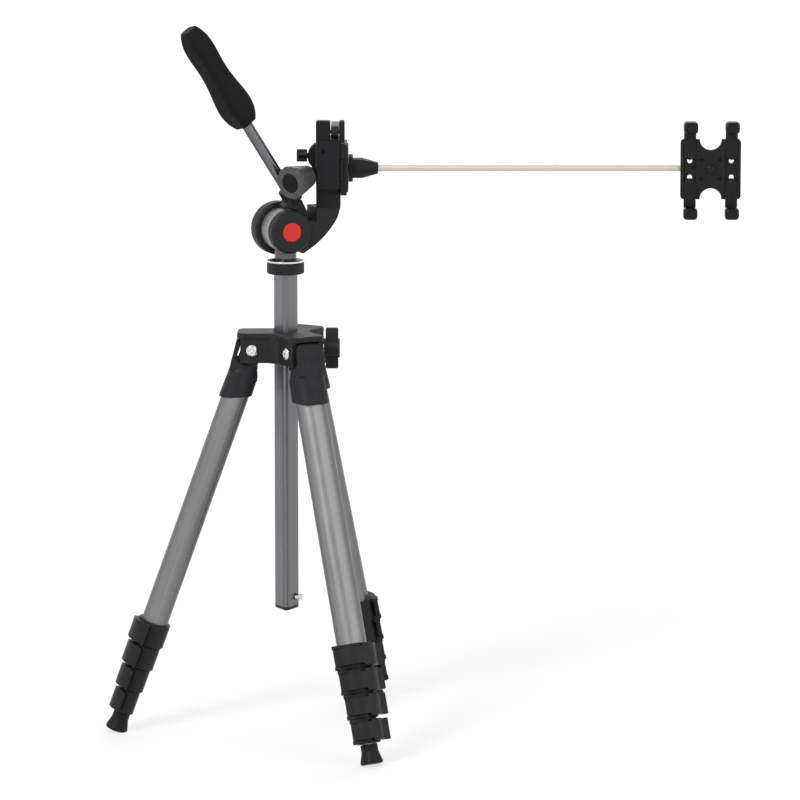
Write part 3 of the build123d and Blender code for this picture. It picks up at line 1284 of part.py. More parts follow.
def make_claw(side_x, side_z):
    """One claw: bar in its channel, hook over the plate's edge, screw with its nut, soft cap."""
    bar_back = HOLDER_FRONT + CLAW_THICKNESS
    hook_front = HOLDER_FRONT - CLAW_HOOK_REACH
    round_at = CLAW_INNER + CLAW_WIDTH / 2
    bar_middle = (side_x * CLAW_X, side_z * (round_at + CLAW_HOOK_END) / 2)
    hook_middle = (side_x * CLAW_X, side_z * (CLAW_HOOK_START + CLAW_HOOK_END) / 2)
    cap_middle = (side_x * CLAW_X, side_z * (CLAW_CAP_START + CLAW_CAP_END) / 2)
    screw_at = (side_x * CLAW_X, side_z * CLAW_SCREW_AT)
    nut_front = HOLDER_BACK + CLAW_NUT_GAP
    with BuildPart() as claw:
        with BuildSketch(holder_plane(bar_back)):
            with Locations(bar_middle):
                Rectangle(CLAW_WIDTH, CLAW_HOOK_END - round_at)
            with Locations((side_x * CLAW_X, side_z * round_at)):
                Circle(CLAW_WIDTH / 2)
        extrude(amount=CLAW_THICKNESS)
        with BuildSketch(holder_plane(bar_back)):
            with Locations(hook_middle):
                Rectangle(CLAW_WIDTH, CLAW_HOOK_END - CLAW_HOOK_START)
        extrude(amount=bar_back - hook_front)
        fillet(claw.edges().filter_by(Axis.Y).group_by(Axis.Z)[-1 if side_z > 0 else 0], CLAW_EDGE)
        with BuildSketch(holder_plane(nut_front)):
            with Locations(screw_at):
                Circle(CLAW_SCREW_RADIUS)
        extrude(amount=nut_front - HOLDER_FRONT + CLAW_SCREW_HEAD_THICKNESS)
        with BuildSketch(holder_plane(HOLDER_FRONT)):
            with Locations(screw_at):
                Circle(CLAW_SCREW_HEAD_RADIUS)
        extrude(amount=CLAW_SCREW_HEAD_THICKNESS)
        with BuildSketch(holder_plane(nut_front)):
            with Locations(screw_at):
                RegularPolygon(CLAW_NUT_RADIUS, HEX_SIDES)
        extrude(amount=-CLAW_NUT_THICKNESS)
    with BuildPart() as cap:
        with BuildSketch(holder_plane(HOLDER_FRONT - CLAW_CAP_BACK)):
            with Locations(cap_middle):
                Rectangle(CLAW_CAP_WIDTH, CLAW_CAP_END - CLAW_CAP_START)
        extrude(amount=CLAW_CAP_REACH - CLAW_CAP_BACK)
        fillet(cap.edges(), CLAW_CAP_EDGE)
        with BuildSketch(holder_plane(HOLDER_FRONT)):
            with Locations(hook_middle):
                Rectangle(CLAW_WIDTH + 2 * FIXED_FIT, CLAW_HOOK_END - CLAW_HOOK_START + 2 * FIXED_FIT)
        extrude(amount=CLAW_HOOK_REACH + FIXED_FIT, mode=Mode.SUBTRACT)
    return [claw.part, cap.part]


CLAWS = {
    "claw_upper_left": (-1, 1),
    "claw_upper_right": (1, 1),
    "claw_lower_left": (-1, -1),
    "claw_lower_right": (1, -1),
}


def build_nodes():
    """Every node of the tripod by name, round the column axis."""
    pieces = {
        "crown": make_crown(),
        "leg_hinge_bolts": [make_hinge_bolt(index) for index in range(LEG_COUNT)],
        "column_bush": make_column_bush(),
        "column_lock_knob": make_column_lock_knob(),
        "column_lock_screw": make_column_lock_screw(),
        "center_column": make_center_column(),
        "column_top_ring": make_column_top_ring(),
        "column_bottom_cap": make_column_bottom_cap(),
        "column_stop_pin": make_column_stop_pin(),
        "head_neck": make_head_neck(),
        "tilt_barrel": make_tilt_barrel(),
        "tilt_yoke": make_tilt_yoke(),
        "tilt_axle": make_tilt_axle(),
        "hub_badge": make_hub_badge(),
        "handle_rod": make_handle_rod(),
        "handle_grip": make_handle_grip(),
        "platform": make_platform(),
        "flip_lock_knob": make_flip_lock_knob(),
        "flip_knob_cap": make_flip_knob_cap(),
        "clamp_star_screw": make_clamp_star_screw(),
        "qr_lever": make_qr_lever(),
        "qr_plate": make_qr_plate(),
        "arm_ferrule": make_ferrule(),
        "arm_rod": make_arm_rod(),
        "rod_end_block": make_rod_end_block(),
        "holder_plate": make_holder_plate(),
    }
    for name, (side_x, side_z) in CLAWS.items():
        pieces[name] = make_claw(side_x, side_z)
    leg_pieces = {"shoulder": make_shoulder()}
    for section in range(1, SECTION_COUNT + 1):
        leg_pieces[f"section_{section}"] = make_section(section)
    for section in range(1, SECTION_COUNT):
        leg_pieces[f"lever_{section}"] = make_lever(section)
    for index, leg in enumerate(LEG_NAMES):
        place = leg_plane(index).location
        for name, solids in leg_pieces.items():
            pieces[f"{leg}_{name}"] = [solid.moved(place) for solid in solids]
    return pieces


nodes = build_nodes()
whole = Compound(children=[solid for solids in nodes.values() for solid in solids]).bounding_box()
SHIFT = Location((-whole.center().X, -whole.center().Y, -whole.min.Z))
print("box", whole.size, "moved by", SHIFT.position)

os.makedirs("parts", exist_ok=True)
for node_name, node_solids in nodes.items():
    node = Compound([solid.moved(SHIFT) for solid in node_solids])
    node.label = node_name
    export_step(node, f"parts/{node_name}.step")
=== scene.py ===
"""Looks of the travel tripod with its device holder arm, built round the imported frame."""

import json
import math

import bmesh
import bpy
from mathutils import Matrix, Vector


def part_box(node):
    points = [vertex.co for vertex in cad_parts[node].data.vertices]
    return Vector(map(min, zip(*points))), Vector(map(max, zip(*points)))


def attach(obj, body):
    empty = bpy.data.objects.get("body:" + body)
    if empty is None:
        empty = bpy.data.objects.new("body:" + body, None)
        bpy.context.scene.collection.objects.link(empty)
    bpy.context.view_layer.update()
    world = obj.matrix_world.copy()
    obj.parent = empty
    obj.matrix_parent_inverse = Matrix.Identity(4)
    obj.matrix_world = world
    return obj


bl_info = {
    "name": "Travel tripod with device holder",
    "version": (1, 0, 0),
    "blender": (4, 5, 0),
    "location": "View3D > Sidebar > Tripod",
    "description": "Finishes and small fittings of a compact tripod with a claw holder on a side arm",
    "category": "Object",
}

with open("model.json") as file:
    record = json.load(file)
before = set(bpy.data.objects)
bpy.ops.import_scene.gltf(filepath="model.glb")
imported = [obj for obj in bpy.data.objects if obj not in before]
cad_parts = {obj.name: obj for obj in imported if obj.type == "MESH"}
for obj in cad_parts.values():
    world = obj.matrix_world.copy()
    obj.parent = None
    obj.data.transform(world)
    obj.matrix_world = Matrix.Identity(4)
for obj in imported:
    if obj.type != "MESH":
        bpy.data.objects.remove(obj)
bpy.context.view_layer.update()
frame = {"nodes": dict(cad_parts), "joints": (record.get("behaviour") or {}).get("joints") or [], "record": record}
LEGS = ("left_leg", "front_leg", "rear_leg")
CLAWS = ("claw_upper_left", "claw_upper_right", "claw_lower_left", "claw_lower_right")
SECTIONS = 5
FRONT = Vector((0.0, -1.0, 0.0))
UP = Vector((0.0, 0.0, 1.0))
RIGHT = Vector((1.0, 0.0, 0.0))
FLOAT, VECTOR, COLOUR = "NodeSocketFloat", "NodeSocketVector", "NodeSocketColor"

# Where the finish changes along one solid, and the ribs of the column's ring, in metres
COLLAR_HALF = 0.01055
SLACK = 0.0002
FLANGE_FROM = 0.01001
FLANGE_TO = 0.01152
RIB_MARGIN = 0.0012
RIB_DEPTH = 0.0005
RIB_STRENGTH = 0.8
RIB_COUNT = 72.0
PAD_DEPTH = 0.00115
CAP_RISE = 0.0319
CAP_BACK = 0.0011

# Screw heads, in metres
BOLT_REACH = 0.03
BOLT_END = 0.0001
BOLT_RISE = 0.0009
BOLT_RECESS = 0.0006
SCREW_RISE = 0.0005
SCREW_RECESS = 0.0004
SUNK_RISE = 0.0002
SUNK_RECESS = 0.0011
PIVOT_RADIUS = 0.0034
CLAW_HEAD = 0.0005
CLAW_SCREW_AT = 0.0116
FIRST_HOLE_ANGLE = math.radians(45)
MILLIMETRE = 0.001

# Mesh of a screw head: its rings and steps, and its cross as shares of the radius
SCREW_RINGS = 22
SCREW_STEPS = 64
CROSS_ARM = 0.15
CROSS_REACH = 0.62
CROSS_BLUR = 0.05
DOME_POWER = 4

# Shading: the middle range of a noise, and the painted dark reflection on the edges of round metal that turn away
# from the view
NOISE_LOW = 0.3
NOISE_HIGH = 0.7
PAINTED_RIM_FROM = 0.04
PAINTED_RIM_TO = 0.5
# Colour of the painted dark reflection on those turned-away edges
PAINTED_DARK_REFLECTION = (0.03, 0.03, 0.032, 1.0)
DUST_COLOUR = (0.16, 0.155, 0.15, 1.0)
WEAR_WIDTH = 1.4

# Studio: each lamp's name, place, width in metres and power in watts
LAMPS = (
    ("key_lamp", (-1.6, -2.2, 2.3), 0.8, 46.0),
    ("fill_lamp", (2.2, -1.8, 1.5), 2.0, 14.0),
    ("back_lamp", (0.4, 2.2, 2.4), 2.0, 20.0),
)
LAMP_AIM = Vector((0.0, 0.0, 0.3))
SKY_LEVEL = 0.5
FLOOR_HALF = 12.0
FLOOR_DROP = 0.0002
FLOOR_GLOW = 0.6
FLOOR_WHITE = 1.14
FLOOR_SHADOW_REACH = 0.5
FLOOR_WHITE_FROM = 2.4
SENSOR_WIDTH = 36.0
CAMERA_REACH = 100.0


def middle(node):
    """Middle of a node's box at rest."""
    low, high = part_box(node)
    return (low + high) / 2


COLUMN_AXIS = Vector((middle("column_top_ring").x, middle("column_top_ring").y, 0.0))


def joint(name):
    """A joint of the frame, by its name."""
    for entry in frame["joints"]:
        if entry["name"] == name:
            return entry
    raise RuntimeError(f"the frame has no joint {name}")


def joint_axis(name):
    return Vector(joint(name)["axis"]).normalized()


def joint_place(name):
    return Vector(joint(name)["pos_m"])


def tint(label, words, value):
    """Colour setting."""
    return bpy.props.FloatVectorProperty(
        name=label, description=words, subtype="COLOR", size=3, min=0.0, max=1.0, default=value
    )


def length(label, words, value):
    """Length setting, in metres."""
    return bpy.props.FloatProperty(
        name=label, description=words, unit="LENGTH", default=value, min=0.0
    )


class TripodColours(bpy.types.PropertyGroup):
    """Base colours of the finishes."""

    tube: tint("Leg tube", "Satin anodised tubes of the legs", (0.245, 0.245, 0.251))
    column: tint("Column", "Satin anodised centre column", (0.178, 0.178, 0.190))
    moulding: tint("Black moulding", "Grained plastic of crown, shoulders and head", (0.0125, 0.0132, 0.0146))
    lever: tint("Lock levers", "Smoother black plastic of levers and platform", (0.0105, 0.0110, 0.0122))
    rubber: tint("Rubber", "Feet and grip", (0.0070, 0.0070, 0.0074))
    bright: tint("Bright steel", "Bolts, pins and the ring's flange", (0.70, 0.69, 0.68))
    neck: tint("Neck", "Dark chromed neck under the tilt joint", (0.115, 0.115, 0.122))
    casting: tint("Barrel casting", "Satin grey barrel of the tilt joint", (0.36, 0.35, 0.34))
    badge: tint("Badge", "Plain enamel disc on the hub", (0.66, 0.012, 0.008))
    knob: tint("Grey knob", "Dark grey plastic of the flip lock knob", (0.058, 0.058, 0.057))
    handle: tint("Handle rod", "Dark anodised rod of the pan handle", (0.165, 0.167, 0.176))
    rod: tint("Arm rod", "Nickel-plated rod of the arm", (0.60, 0.565, 0.53))
    coated: tint("Coated metal", "Black coated plate, ferrule and claws", (0.0088, 0.0090, 0.0098))
    tip: tint("Caps", "Deep black caps on the claws and the knob", (0.0045, 0.0045, 0.005))
    pad: tint("Plate pad", "Ribbed pad on the quick-release plate", (0.030, 0.030, 0.030))
    worn: tint("Worn edge", "Paler plastic where edges have been rubbed", (0.075, 0.076, 0.080))
    floor: tint("Floor", "Plain pale floor", (0.93, 0.928, 0.92))


class TripodSizes(bpy.types.PropertyGroup):
    """Sizes of the fine detail and of the studio."""

    grain: length("Moulding grain", "Size of the grain on the black mouldings", 0.00065)
    streak: length("Drawing streak", "Width of the streaks along the tubes", 0.0011)
    edge: length("Edge softness", "Radius to which sharp edges are rounded in shading", 0.0005)
    sunk_screw: length("Sunk screw", "Radius of the screws in the holder plate", 0.0028)
    small_screw: length("Small screw", "Radius of the screw heads on the claws", 0.0022)
    camera_back: length("Camera distance", "How far the camera stands in front of the tripod", 4.3625)
    camera_height: length("Camera height", "Height of the camera above the floor", 1.0252)
    camera_side: length("Camera side step", "How far the camera stands to the left of the middle", 0.0180)
    camera_lens: bpy.props.FloatProperty(
        name="Lens", description="Focal length for a 36 mm wide frame, in millimetres",
        default=229.4, min=1.0,
    )
    camera_tilt: bpy.props.FloatProperty(
        name="Camera tilt", description="How far the camera looks down", subtype="ANGLE", default=0.166
    )


def colours():
    return bpy.context.scene.tripod_colours


def sizes():
    return bpy.context.scene.tripod_sizes


# Node helpers

def add_node(tree, kind, **values):
    made = tree.nodes.new(kind)
    for key, value in values.items():
        setattr(made, key, value)
    return made


def feed(tree, socket, value):
    """Links a socket to an output, or sets its constant."""
    if isinstance(value, bpy.types.NodeSocket):
        tree.links.new(value, socket)
    else:
        socket.default_value = value


def maths(tree, operation, *values, clamp=False):
    made = add_node(tree, "ShaderNodeMath", operation=operation, use_clamp=clamp)
    for socket, value in zip(made.inputs, values):
        feed(tree, socket, value)
    return made.outputs[0]


def vectors(tree, operation, *values):
    made = add_node(tree, "ShaderNodeVectorMath", operation=operation)
    for socket, value in zip(made.inputs, values):
        feed(tree, socket, value)
    return made.outputs["Value"] if operation in {"DOT_PRODUCT", "LENGTH"} else made.outputs["Vector"]


def scaled(tree, vector, factor):
    made = add_node(tree, "ShaderNodeVectorMath", operation="SCALE")
    feed(tree, made.inputs[0], vector)
    feed(tree, made.inputs["Scale"], factor)
    return made.outputs["Vector"]


def spread(tree, value, low, high, to_low=0.0, to_high=1.0):
    made = add_node(tree, "ShaderNodeMapRange", interpolation_type="SMOOTHSTEP")
    entries = {"Value": value, "From Min": low, "From Max": high, "To Min": to_low, "To Max": to_high}
    for name, entry in entries.items():
        feed(tree, made.inputs[name], entry)
    return made.outputs["Result"]


def varied(tree, value, low, high):
    """Spreads a noise between two values."""
    return spread(tree, value, NOISE_LOW, NOISE_HIGH, low, high)


def noise(tree, vector, scale, detail, roughness):
    made = add_node(tree, "ShaderNodeTexNoise")
    feed(tree, made.inputs["Vector"], vector)
    feed(tree, made.inputs["Scale"], scale)
    made.inputs["Detail"].default_value = detail
    made.inputs["Roughness"].default_value = roughness
    return made.outputs["Fac"]


def blend_colour(tree, factor, first, second):
    """Mixes two colours; their sockets are found by number, because their names repeat."""
    made = add_node(tree, "ShaderNodeMix", data_type="RGBA")
    feed(tree, made.inputs[0], factor)
    feed(tree, made.inputs[6], first)
    feed(tree, made.inputs[7], second)
    return made.outputs[2]


def begin_group(name, inputs, outputs):
    """Empty shader group with its sockets; returns the tree, the input sockets and the output node."""
    tree = bpy.data.node_groups.new(name, "ShaderNodeTree")
    for label, kind, value in inputs:
        socket = tree.interface.new_socket(name=label, in_out="INPUT", socket_type=kind)
        socket.default_value = value
    for label, kind in outputs:
        tree.interface.new_socket(name=label, in_out="OUTPUT", socket_type=kind)
    source = add_node(tree, "NodeGroupInput")
    sink = add_node(tree, "NodeGroupOutput")
    return tree, source.outputs, sink.inputs


def group_moulded_grain():
    """Fine spark-eroded grain with uneven colour and a little dust on what faces up."""
    tree, given, out = begin_group(
        "moulded_grain",
        [("Colour", COLOUR, (0.02, 0.02, 0.02, 1.0)), ("Grain", FLOAT, 0.0006), ("Dust", FLOAT, 0.5),
         ("Base Roughness", FLOAT, 0.5), ("Contrast", FLOAT, 1.0)],
        [("Colour", COLOUR), ("Roughness", FLOAT), ("Height", FLOAT)],
    )
    place = add_node(tree, "ShaderNodeTexCoord").outputs["Object"]
    frequency = maths(tree, "DIVIDE", 1.0, given["Grain"])
    grain = noise(tree, place, frequency, detail=2.0, roughness=0.6)
    cloud = noise(tree, place, scale=38.0, detail=4.0, roughness=0.6)
    wear = noise(tree, place, scale=210.0, detail=3.0, roughness=0.65)
    facing = add_node(tree, "ShaderNodeSeparateXYZ")
    tree.links.new(add_node(tree, "ShaderNodeNewGeometry").outputs["Normal"], facing.inputs[0])
    up = spread(tree, facing.outputs["Z"], 0.35, 1.0)
    dust = maths(tree, "MULTIPLY", up, spread(tree, wear, 0.42, 0.75))
    dust = maths(tree, "MULTIPLY", dust, given["Dust"])
    shade = maths(tree, "ADD", varied(tree, cloud, -0.18, 0.2), varied(tree, grain, -0.12, 0.14))
    shade = maths(tree, "ADD", 1.0, maths(tree, "MULTIPLY", shade, given["Contrast"]))
    body = scaled(tree, given["Colour"], shade)
    feed(tree, out["Colour"], blend_colour(tree, dust, body, DUST_COLOUR))
    rough = maths(tree, "ADD", given["Base Roughness"], varied(tree, wear, -0.07, 0.08))
    rough = maths(tree, "ADD", rough, varied(tree, cloud, -0.04, 0.05))
    dulled = maths(tree, "MULTIPLY", dust, 0.3)
    feed(tree, out["Roughness"], maths(tree, "ADD", rough, dulled, clamp=True))
    feed(tree, out["Height"], grain)
    return tree


def group_drawn_metal():
    """Streaks that drawing and brushing leave along a tube or rod, with handling marks across them."""
    tree, given, out = begin_group(
        "drawn_metal",
        [("Colour", COLOUR, (0.3, 0.3, 0.3, 1.0)), ("Along", VECTOR, (0.0, 0.0, 1.0)),
         ("Streak", FLOAT, 0.001), ("Base Roughness", FLOAT, 0.4), ("Contrast", FLOAT, 1.0)],
        [("Colour", COLOUR), ("Roughness", FLOAT), ("Height", FLOAT)],
    )
    place = add_node(tree, "ShaderNodeTexCoord").outputs["Object"]
    along = vectors(tree, "DOT_PRODUCT", place, given["Along"])
    shortened = scaled(tree, given["Along"], maths(tree, "MULTIPLY", along, 0.985))
    squeezed = vectors(tree, "SUBTRACT", place, shortened)
    frequency = maths(tree, "DIVIDE", 1.0, given["Streak"])
    fine = noise(tree, squeezed, frequency, detail=4.0, roughness=0.65)
    broad = noise(tree, squeezed, maths(tree, "MULTIPLY", frequency, 0.16), detail=2.0, roughness=0.5)
    cloud = noise(tree, place, scale=26.0, detail=4.0, roughness=0.6)
    speck = noise(tree, place, scale=900.0, detail=2.0, roughness=0.5)
    tone = maths(tree, "ADD", varied(tree, fine, -0.07, 0.07), varied(tree, broad, -0.06, 0.06))
    tone = maths(tree, "ADD", tone, varied(tree, speck, -0.03, 0.03))
    tone = maths(tree, "ADD", tone, varied(tree, cloud, -0.05, 0.05))
    tone = maths(tree, "ADD", 1.0, maths(tree, "MULTIPLY", tone, given["Contrast"]))
    feed(tree, out["Colour"], scaled(tree, given["Colour"], tone))
    rough = maths(tree, "ADD", given["Base Roughness"], spread(tree, cloud, 0.35, 0.7, -0.05, 0.08))
    streaked = varied(tree, fine, -0.04, 0.04)
    feed(tree, out["Roughness"], maths(tree, "ADD", rough, streaked, clamp=True))
    feed(tree, out["Height"], maths(tree, "ADD", fine, maths(tree, "MULTIPLY", speck, 0.4)))
    return tree


def group_turned_rings():
    """Fine rings that a lathe leaves round an axis, with small handling marks."""
    tree, given, out = begin_group(
        "turned_rings",
        [("Colour", COLOUR, (0.7, 0.7, 0.7, 1.0)), ("Centre", VECTOR, (0.0, 0.0, 0.0)),
         ("Axis", VECTOR, (0.0, 0.0, 1.0)), ("Pitch", FLOAT, 0.0004), ("Base Roughness", FLOAT, 0.25)],
        [("Colour", COLOUR), ("Roughness", FLOAT), ("Height", FLOAT)],
    )
    place = add_node(tree, "ShaderNodeTexCoord").outputs["Object"]
    offset = vectors(tree, "SUBTRACT", place, given["Centre"])
    along = vectors(tree, "DOT_PRODUCT", offset, given["Axis"])
    outward = vectors(tree, "SUBTRACT", offset, scaled(tree, given["Axis"], along))
    across = vectors(tree, "LENGTH", outward)
    run = maths(tree, "ADD", along, across)
    step = add_node(tree, "ShaderNodeTexNoise", noise_dimensions="1D")
    feed(tree, step.inputs["W"], maths(tree, "DIVIDE", run, given["Pitch"]))
    step.inputs["Scale"].default_value = 1.0
    step.inputs["Detail"].default_value = 3.0
    rings = step.outputs["Fac"]
    cloud = noise(tree, place, scale=120.0, detail=4.0, roughness=0.6)
    tone = maths(tree, "MULTIPLY", varied(tree, rings, 0.9, 1.08), varied(tree, cloud, 0.93, 1.05))
    feed(tree, out["Colour"], scaled(tree, given["Colour"], tone))
    rough = maths(tree, "ADD", given["Base Roughness"], spread(tree, cloud, 0.35, 0.75, -0.04, 0.1))
    ringed = varied(tree, rings, -0.03, 0.03)
    feed(tree, out["Roughness"], maths(tree, "ADD", rough, ringed, clamp=True))
    feed(tree, out["Height"], rings)
    return tree


def group_ribs_round():
    """Straight knurled ribs round an upright axis."""
    tree, given, out = begin_group(
        "ribs_round",
        [("Centre", VECTOR, (0.0, 0.0, 0.0)), ("Count", FLOAT, 60.0),
         ("Low", FLOAT, 0.0), ("High", FLOAT, 1.0)],
        [("Height", FLOAT)],
    )
    place = add_node(tree, "ShaderNodeTexCoord").outputs["Object"]
    offset = add_node(tree, "ShaderNodeSeparateXYZ")
    tree.links.new(vectors(tree, "SUBTRACT", place, given["Centre"]), offset.inputs[0])
    angle = maths(tree, "ARCTAN2", offset.outputs["Y"], offset.outputs["X"])
    ribs = maths(tree, "SINE", maths(tree, "MULTIPLY", angle, given["Count"]))
    above = maths(tree, "GREATER_THAN", offset.outputs["Z"], given["Low"])
    below = maths(tree, "LESS_THAN", offset.outputs["Z"], given["High"])
    band = maths(tree, "MULTIPLY", above, below)
    rise = maths(tree, "ADD", maths(tree, "MULTIPLY", ribs, 0.5), 0.5)
    feed(tree, out["Height"], maths(tree, "MULTIPLY", band, rise))
    return tree


def group_edge_wear():
    """Broken bright line where sharp edges have been rubbed."""
    tree, given, out = begin_group(
        "edge_wear", [("Width", FLOAT, 0.0006), ("Amount", FLOAT, 0.5)], [("Mask", FLOAT)]
    )
    place = add_node(tree, "ShaderNodeTexCoord").outputs["Object"]
    rounded = add_node(tree, "ShaderNodeBevel", samples=4)
    feed(tree, rounded.inputs["Radius"], given["Width"])
    flat = add_node(tree, "ShaderNodeNewGeometry").outputs["Normal"]
    bend = maths(tree, "SUBTRACT", 1.0, vectors(tree, "DOT_PRODUCT", rounded.outputs["Normal"], flat))
    edge = spread(tree, bend, 0.03, 0.28)
    broken = spread(tree, noise(tree, place, scale=260.0, detail=4.0, roughness=0.65), 0.42, 0.68)
    worn = maths(tree, "MULTIPLY", edge, broken)
    feed(tree, out["Mask"], maths(tree, "MULTIPLY", worn, given["Amount"], clamp=True))
    return tree


SHARED_EFFECTS = {
    "edge_wear": group_edge_wear,
    "moulded_grain": group_moulded_grain,
    "drawn_metal": group_drawn_metal,
    "turned_rings": group_turned_rings,
    "ribs_round": group_ribs_round,
}


def effect(tree, name, **values):
    """Places a shared effect in a material, building it on its first use."""
    group = bpy.data.node_groups.get(name) or SHARED_EFFECTS[name]()
    placed = add_node(tree, "ShaderNodeGroup", node_tree=group)
    for key, value in values.items():
        placed.inputs[key.replace("_", " ")].default_value = value
    return placed.outputs


def rgba(colour):
    return (colour[0], colour[1], colour[2], 1.0)


def finish_material(name, effect_name, constants, bump, depth, wear=0.0, soft=1.0, painted_rim=0.0, **values):
    """Principled material fed by one shared effect, with soft edges, rubbed edges, fine bump and an optional
    painted dark reflection on edges that turn away.
    """
    found = bpy.data.materials.get(name)
    if found:
        return found
    material = bpy.data.materials.new(name)
    material.use_nodes = True
    tree = material.node_tree
    shader = tree.nodes["Principled BSDF"]
    out = effect(tree, effect_name, **values)
    colour = out["Colour"]
    if wear:
        rubbed = effect(tree, "edge_wear", Width=sizes().edge * WEAR_WIDTH, Amount=wear)
        colour = blend_colour(tree, rubbed["Mask"], colour, rgba(colours().worn))
    # Painted dark reflection: edges that turn away from the view are darkened, standing in for dark surroundings
    # mirrored in round metal.
    if painted_rim:
        facing = add_node(tree, "ShaderNodeLayerWeight").outputs["Facing"]
        painted_rim_mask = spread(tree, facing, PAINTED_RIM_FROM, PAINTED_RIM_TO, 0.0, painted_rim)
        colour = blend_colour(tree, painted_rim_mask, colour, PAINTED_DARK_REFLECTION)
    tree.links.new(colour, shader.inputs["Base Color"])
    tree.links.new(out["Roughness"], shader.inputs["Roughness"])
    relief = add_node(tree, "ShaderNodeBump")
    relief.inputs["Strength"].default_value = bump
    relief.inputs["Distance"].default_value = depth
    tree.links.new(out["Height"], relief.inputs["Height"])
    edges = add_node(tree, "ShaderNodeBevel", samples=4)
    edges.inputs["Radius"].default_value = sizes().edge * soft
    tree.links.new(edges.outputs["Normal"], relief.inputs["Normal"])
    tree.links.new(relief.outputs["Normal"], shader.inputs["Normal"])
    for socket, value in constants.items():
        shader.inputs[socket].default_value = value
    material.diffuse_color = rgba(values["Colour"])
    return material


def moulded(name, colour, roughness, bump, depth, specular=0.5, grain=1.0, dust=0.0, contrast=1.0,
            wear=0.0, soft=1.0, metallic=0.0):
    """Grained plastic, rubber or coating, with its grain as a share of the mouldings' grain."""
    constants = {"Specular IOR Level": specular, "Metallic": metallic}
    return finish_material(
        name, "moulded_grain", constants, bump, depth, wear, soft,
        Colour=rgba(colour), Grain=sizes().grain * grain, Dust=dust,
        Base_Roughness=roughness, Contrast=contrast,
    )


def black_moulding():
    return moulded(
        "black_moulding", colours().moulding, roughness=0.50, bump=0.35, depth=0.0003,
        specular=0.22, dust=0.05, wear=0.55,
    )


def lever_plastic():
    return moulded(
        "lever_plastic", colours().lever, roughness=0.42, bump=0.22, depth=0.0002,
        specular=0.23, grain=0.8, dust=0.05, wear=0.6,
    )


def satin_black():
    return moulded(
        "satin_black", colours().lever, roughness=0.40, bump=0.22, depth=0.0002,
        specular=0.13, grain=0.8, dust=0.04, wear=0.6,
    )


def grip_rubber():
    return moulded(
        "grip_rubber", colours().rubber, roughness=0.55, bump=0.45, depth=0.0003,
        specular=0.11, grain=1.2, dust=0.05, wear=0.25,
    )


def foot_rubber():
    return moulded(
        "foot_rubber", colours().rubber, roughness=0.5, bump=0.4, depth=0.0003,
        specular=0.18, grain=1.6, dust=0.12, wear=0.3,
    )


def coated_metal():
    return moulded(
        "coated_metal", colours().coated, roughness=0.42, bump=0.3, depth=0.0003,
        specular=0.18, grain=1.4, dust=0.04, wear=0.5,
    )


def black_screw():
    return moulded(
        "black_screw", colours().coated, roughness=0.32, bump=0.1, depth=0.0001,
        grain=0.5, wear=0.4, metallic=0.6,
    )


def claw_cap():
    return moulded(
        "claw_cap", colours().tip, roughness=0.14, bump=0.05, depth=0.0002,
        specular=0.2, grain=3.0, contrast=0.4, soft=6.0,
    )


def knob_cap_plastic():
    return moulded(
        "knob_cap_plastic", colours().tip, roughness=0.5, bump=0.2, depth=0.0002, specular=0.14,
    )


def grey_knob_plastic():
    return moulded(
        "grey_knob_plastic", colours().knob, roughness=0.40, bump=0.25, depth=0.0002,
        specular=0.4, dust=0.06, wear=0.4,
    )


def pad_rubber():
    return moulded(
        "pad_rubber", colours().pad, roughness=0.7, bump=0.5, depth=0.0003,
        specular=0.3, grain=1.5, dust=0.12,
    )


def badge_enamel():
    lacquer = {"Specular IOR Level": 0.3, "Coat Weight": 0.25, "Coat Roughness": 0.04}
    return finish_material(
        "badge_enamel", "moulded_grain", lacquer, bump=0.04, depth=0.0002,
        Colour=rgba(colours().badge), Grain=0.0004, Dust=0.0, Base_Roughness=0.28, Contrast=0.2,
    )


def barrel_casting():
    return finish_material(
        "barrel_casting", "turned_rings", {"Metallic": 0.8}, bump=0.10, depth=0.0002,
        Colour=rgba(colours().casting), Centre=joint_place("tilt"), Axis=joint_axis("tilt"),
        Pitch=0.0005, Base_Roughness=0.42,
    )


def drawn(name, colour, along, rough, contrast=1.0, metallic=1.0, bump=0.12, painted_rim=0.0):
    """Metal drawn along a direction, with an optional painted dark reflection on the edges that turn away."""
    return finish_material(
        name, "drawn_metal", {"Metallic": metallic}, bump=bump, depth=0.0002, painted_rim=painted_rim,
        Colour=rgba(colour), Along=along, Streak=sizes().streak, Base_Roughness=rough, Contrast=contrast,
    )


def turned(name, colour, centre, axis, rough=0.2):
    """Metal turned about an axis."""
    return finish_material(
        name, "turned_rings", {"Metallic": 1.0}, bump=0.10, depth=0.0001,
        Colour=rgba(colour), Centre=centre, Axis=axis, Pitch=0.0004, Base_Roughness=rough,
    )


# Dressing of the frame's nodes

def dress(node, *materials, choose=None):
    """Gives a node its materials; choose returns a face's slot number from its middle."""
    mesh = frame["nodes"][node].data
    mesh.materials.clear()
    for material in materials:
        mesh.materials.append(material)
    for face in mesh.polygons:
        face.material_index = choose(face.center) if choose else 0


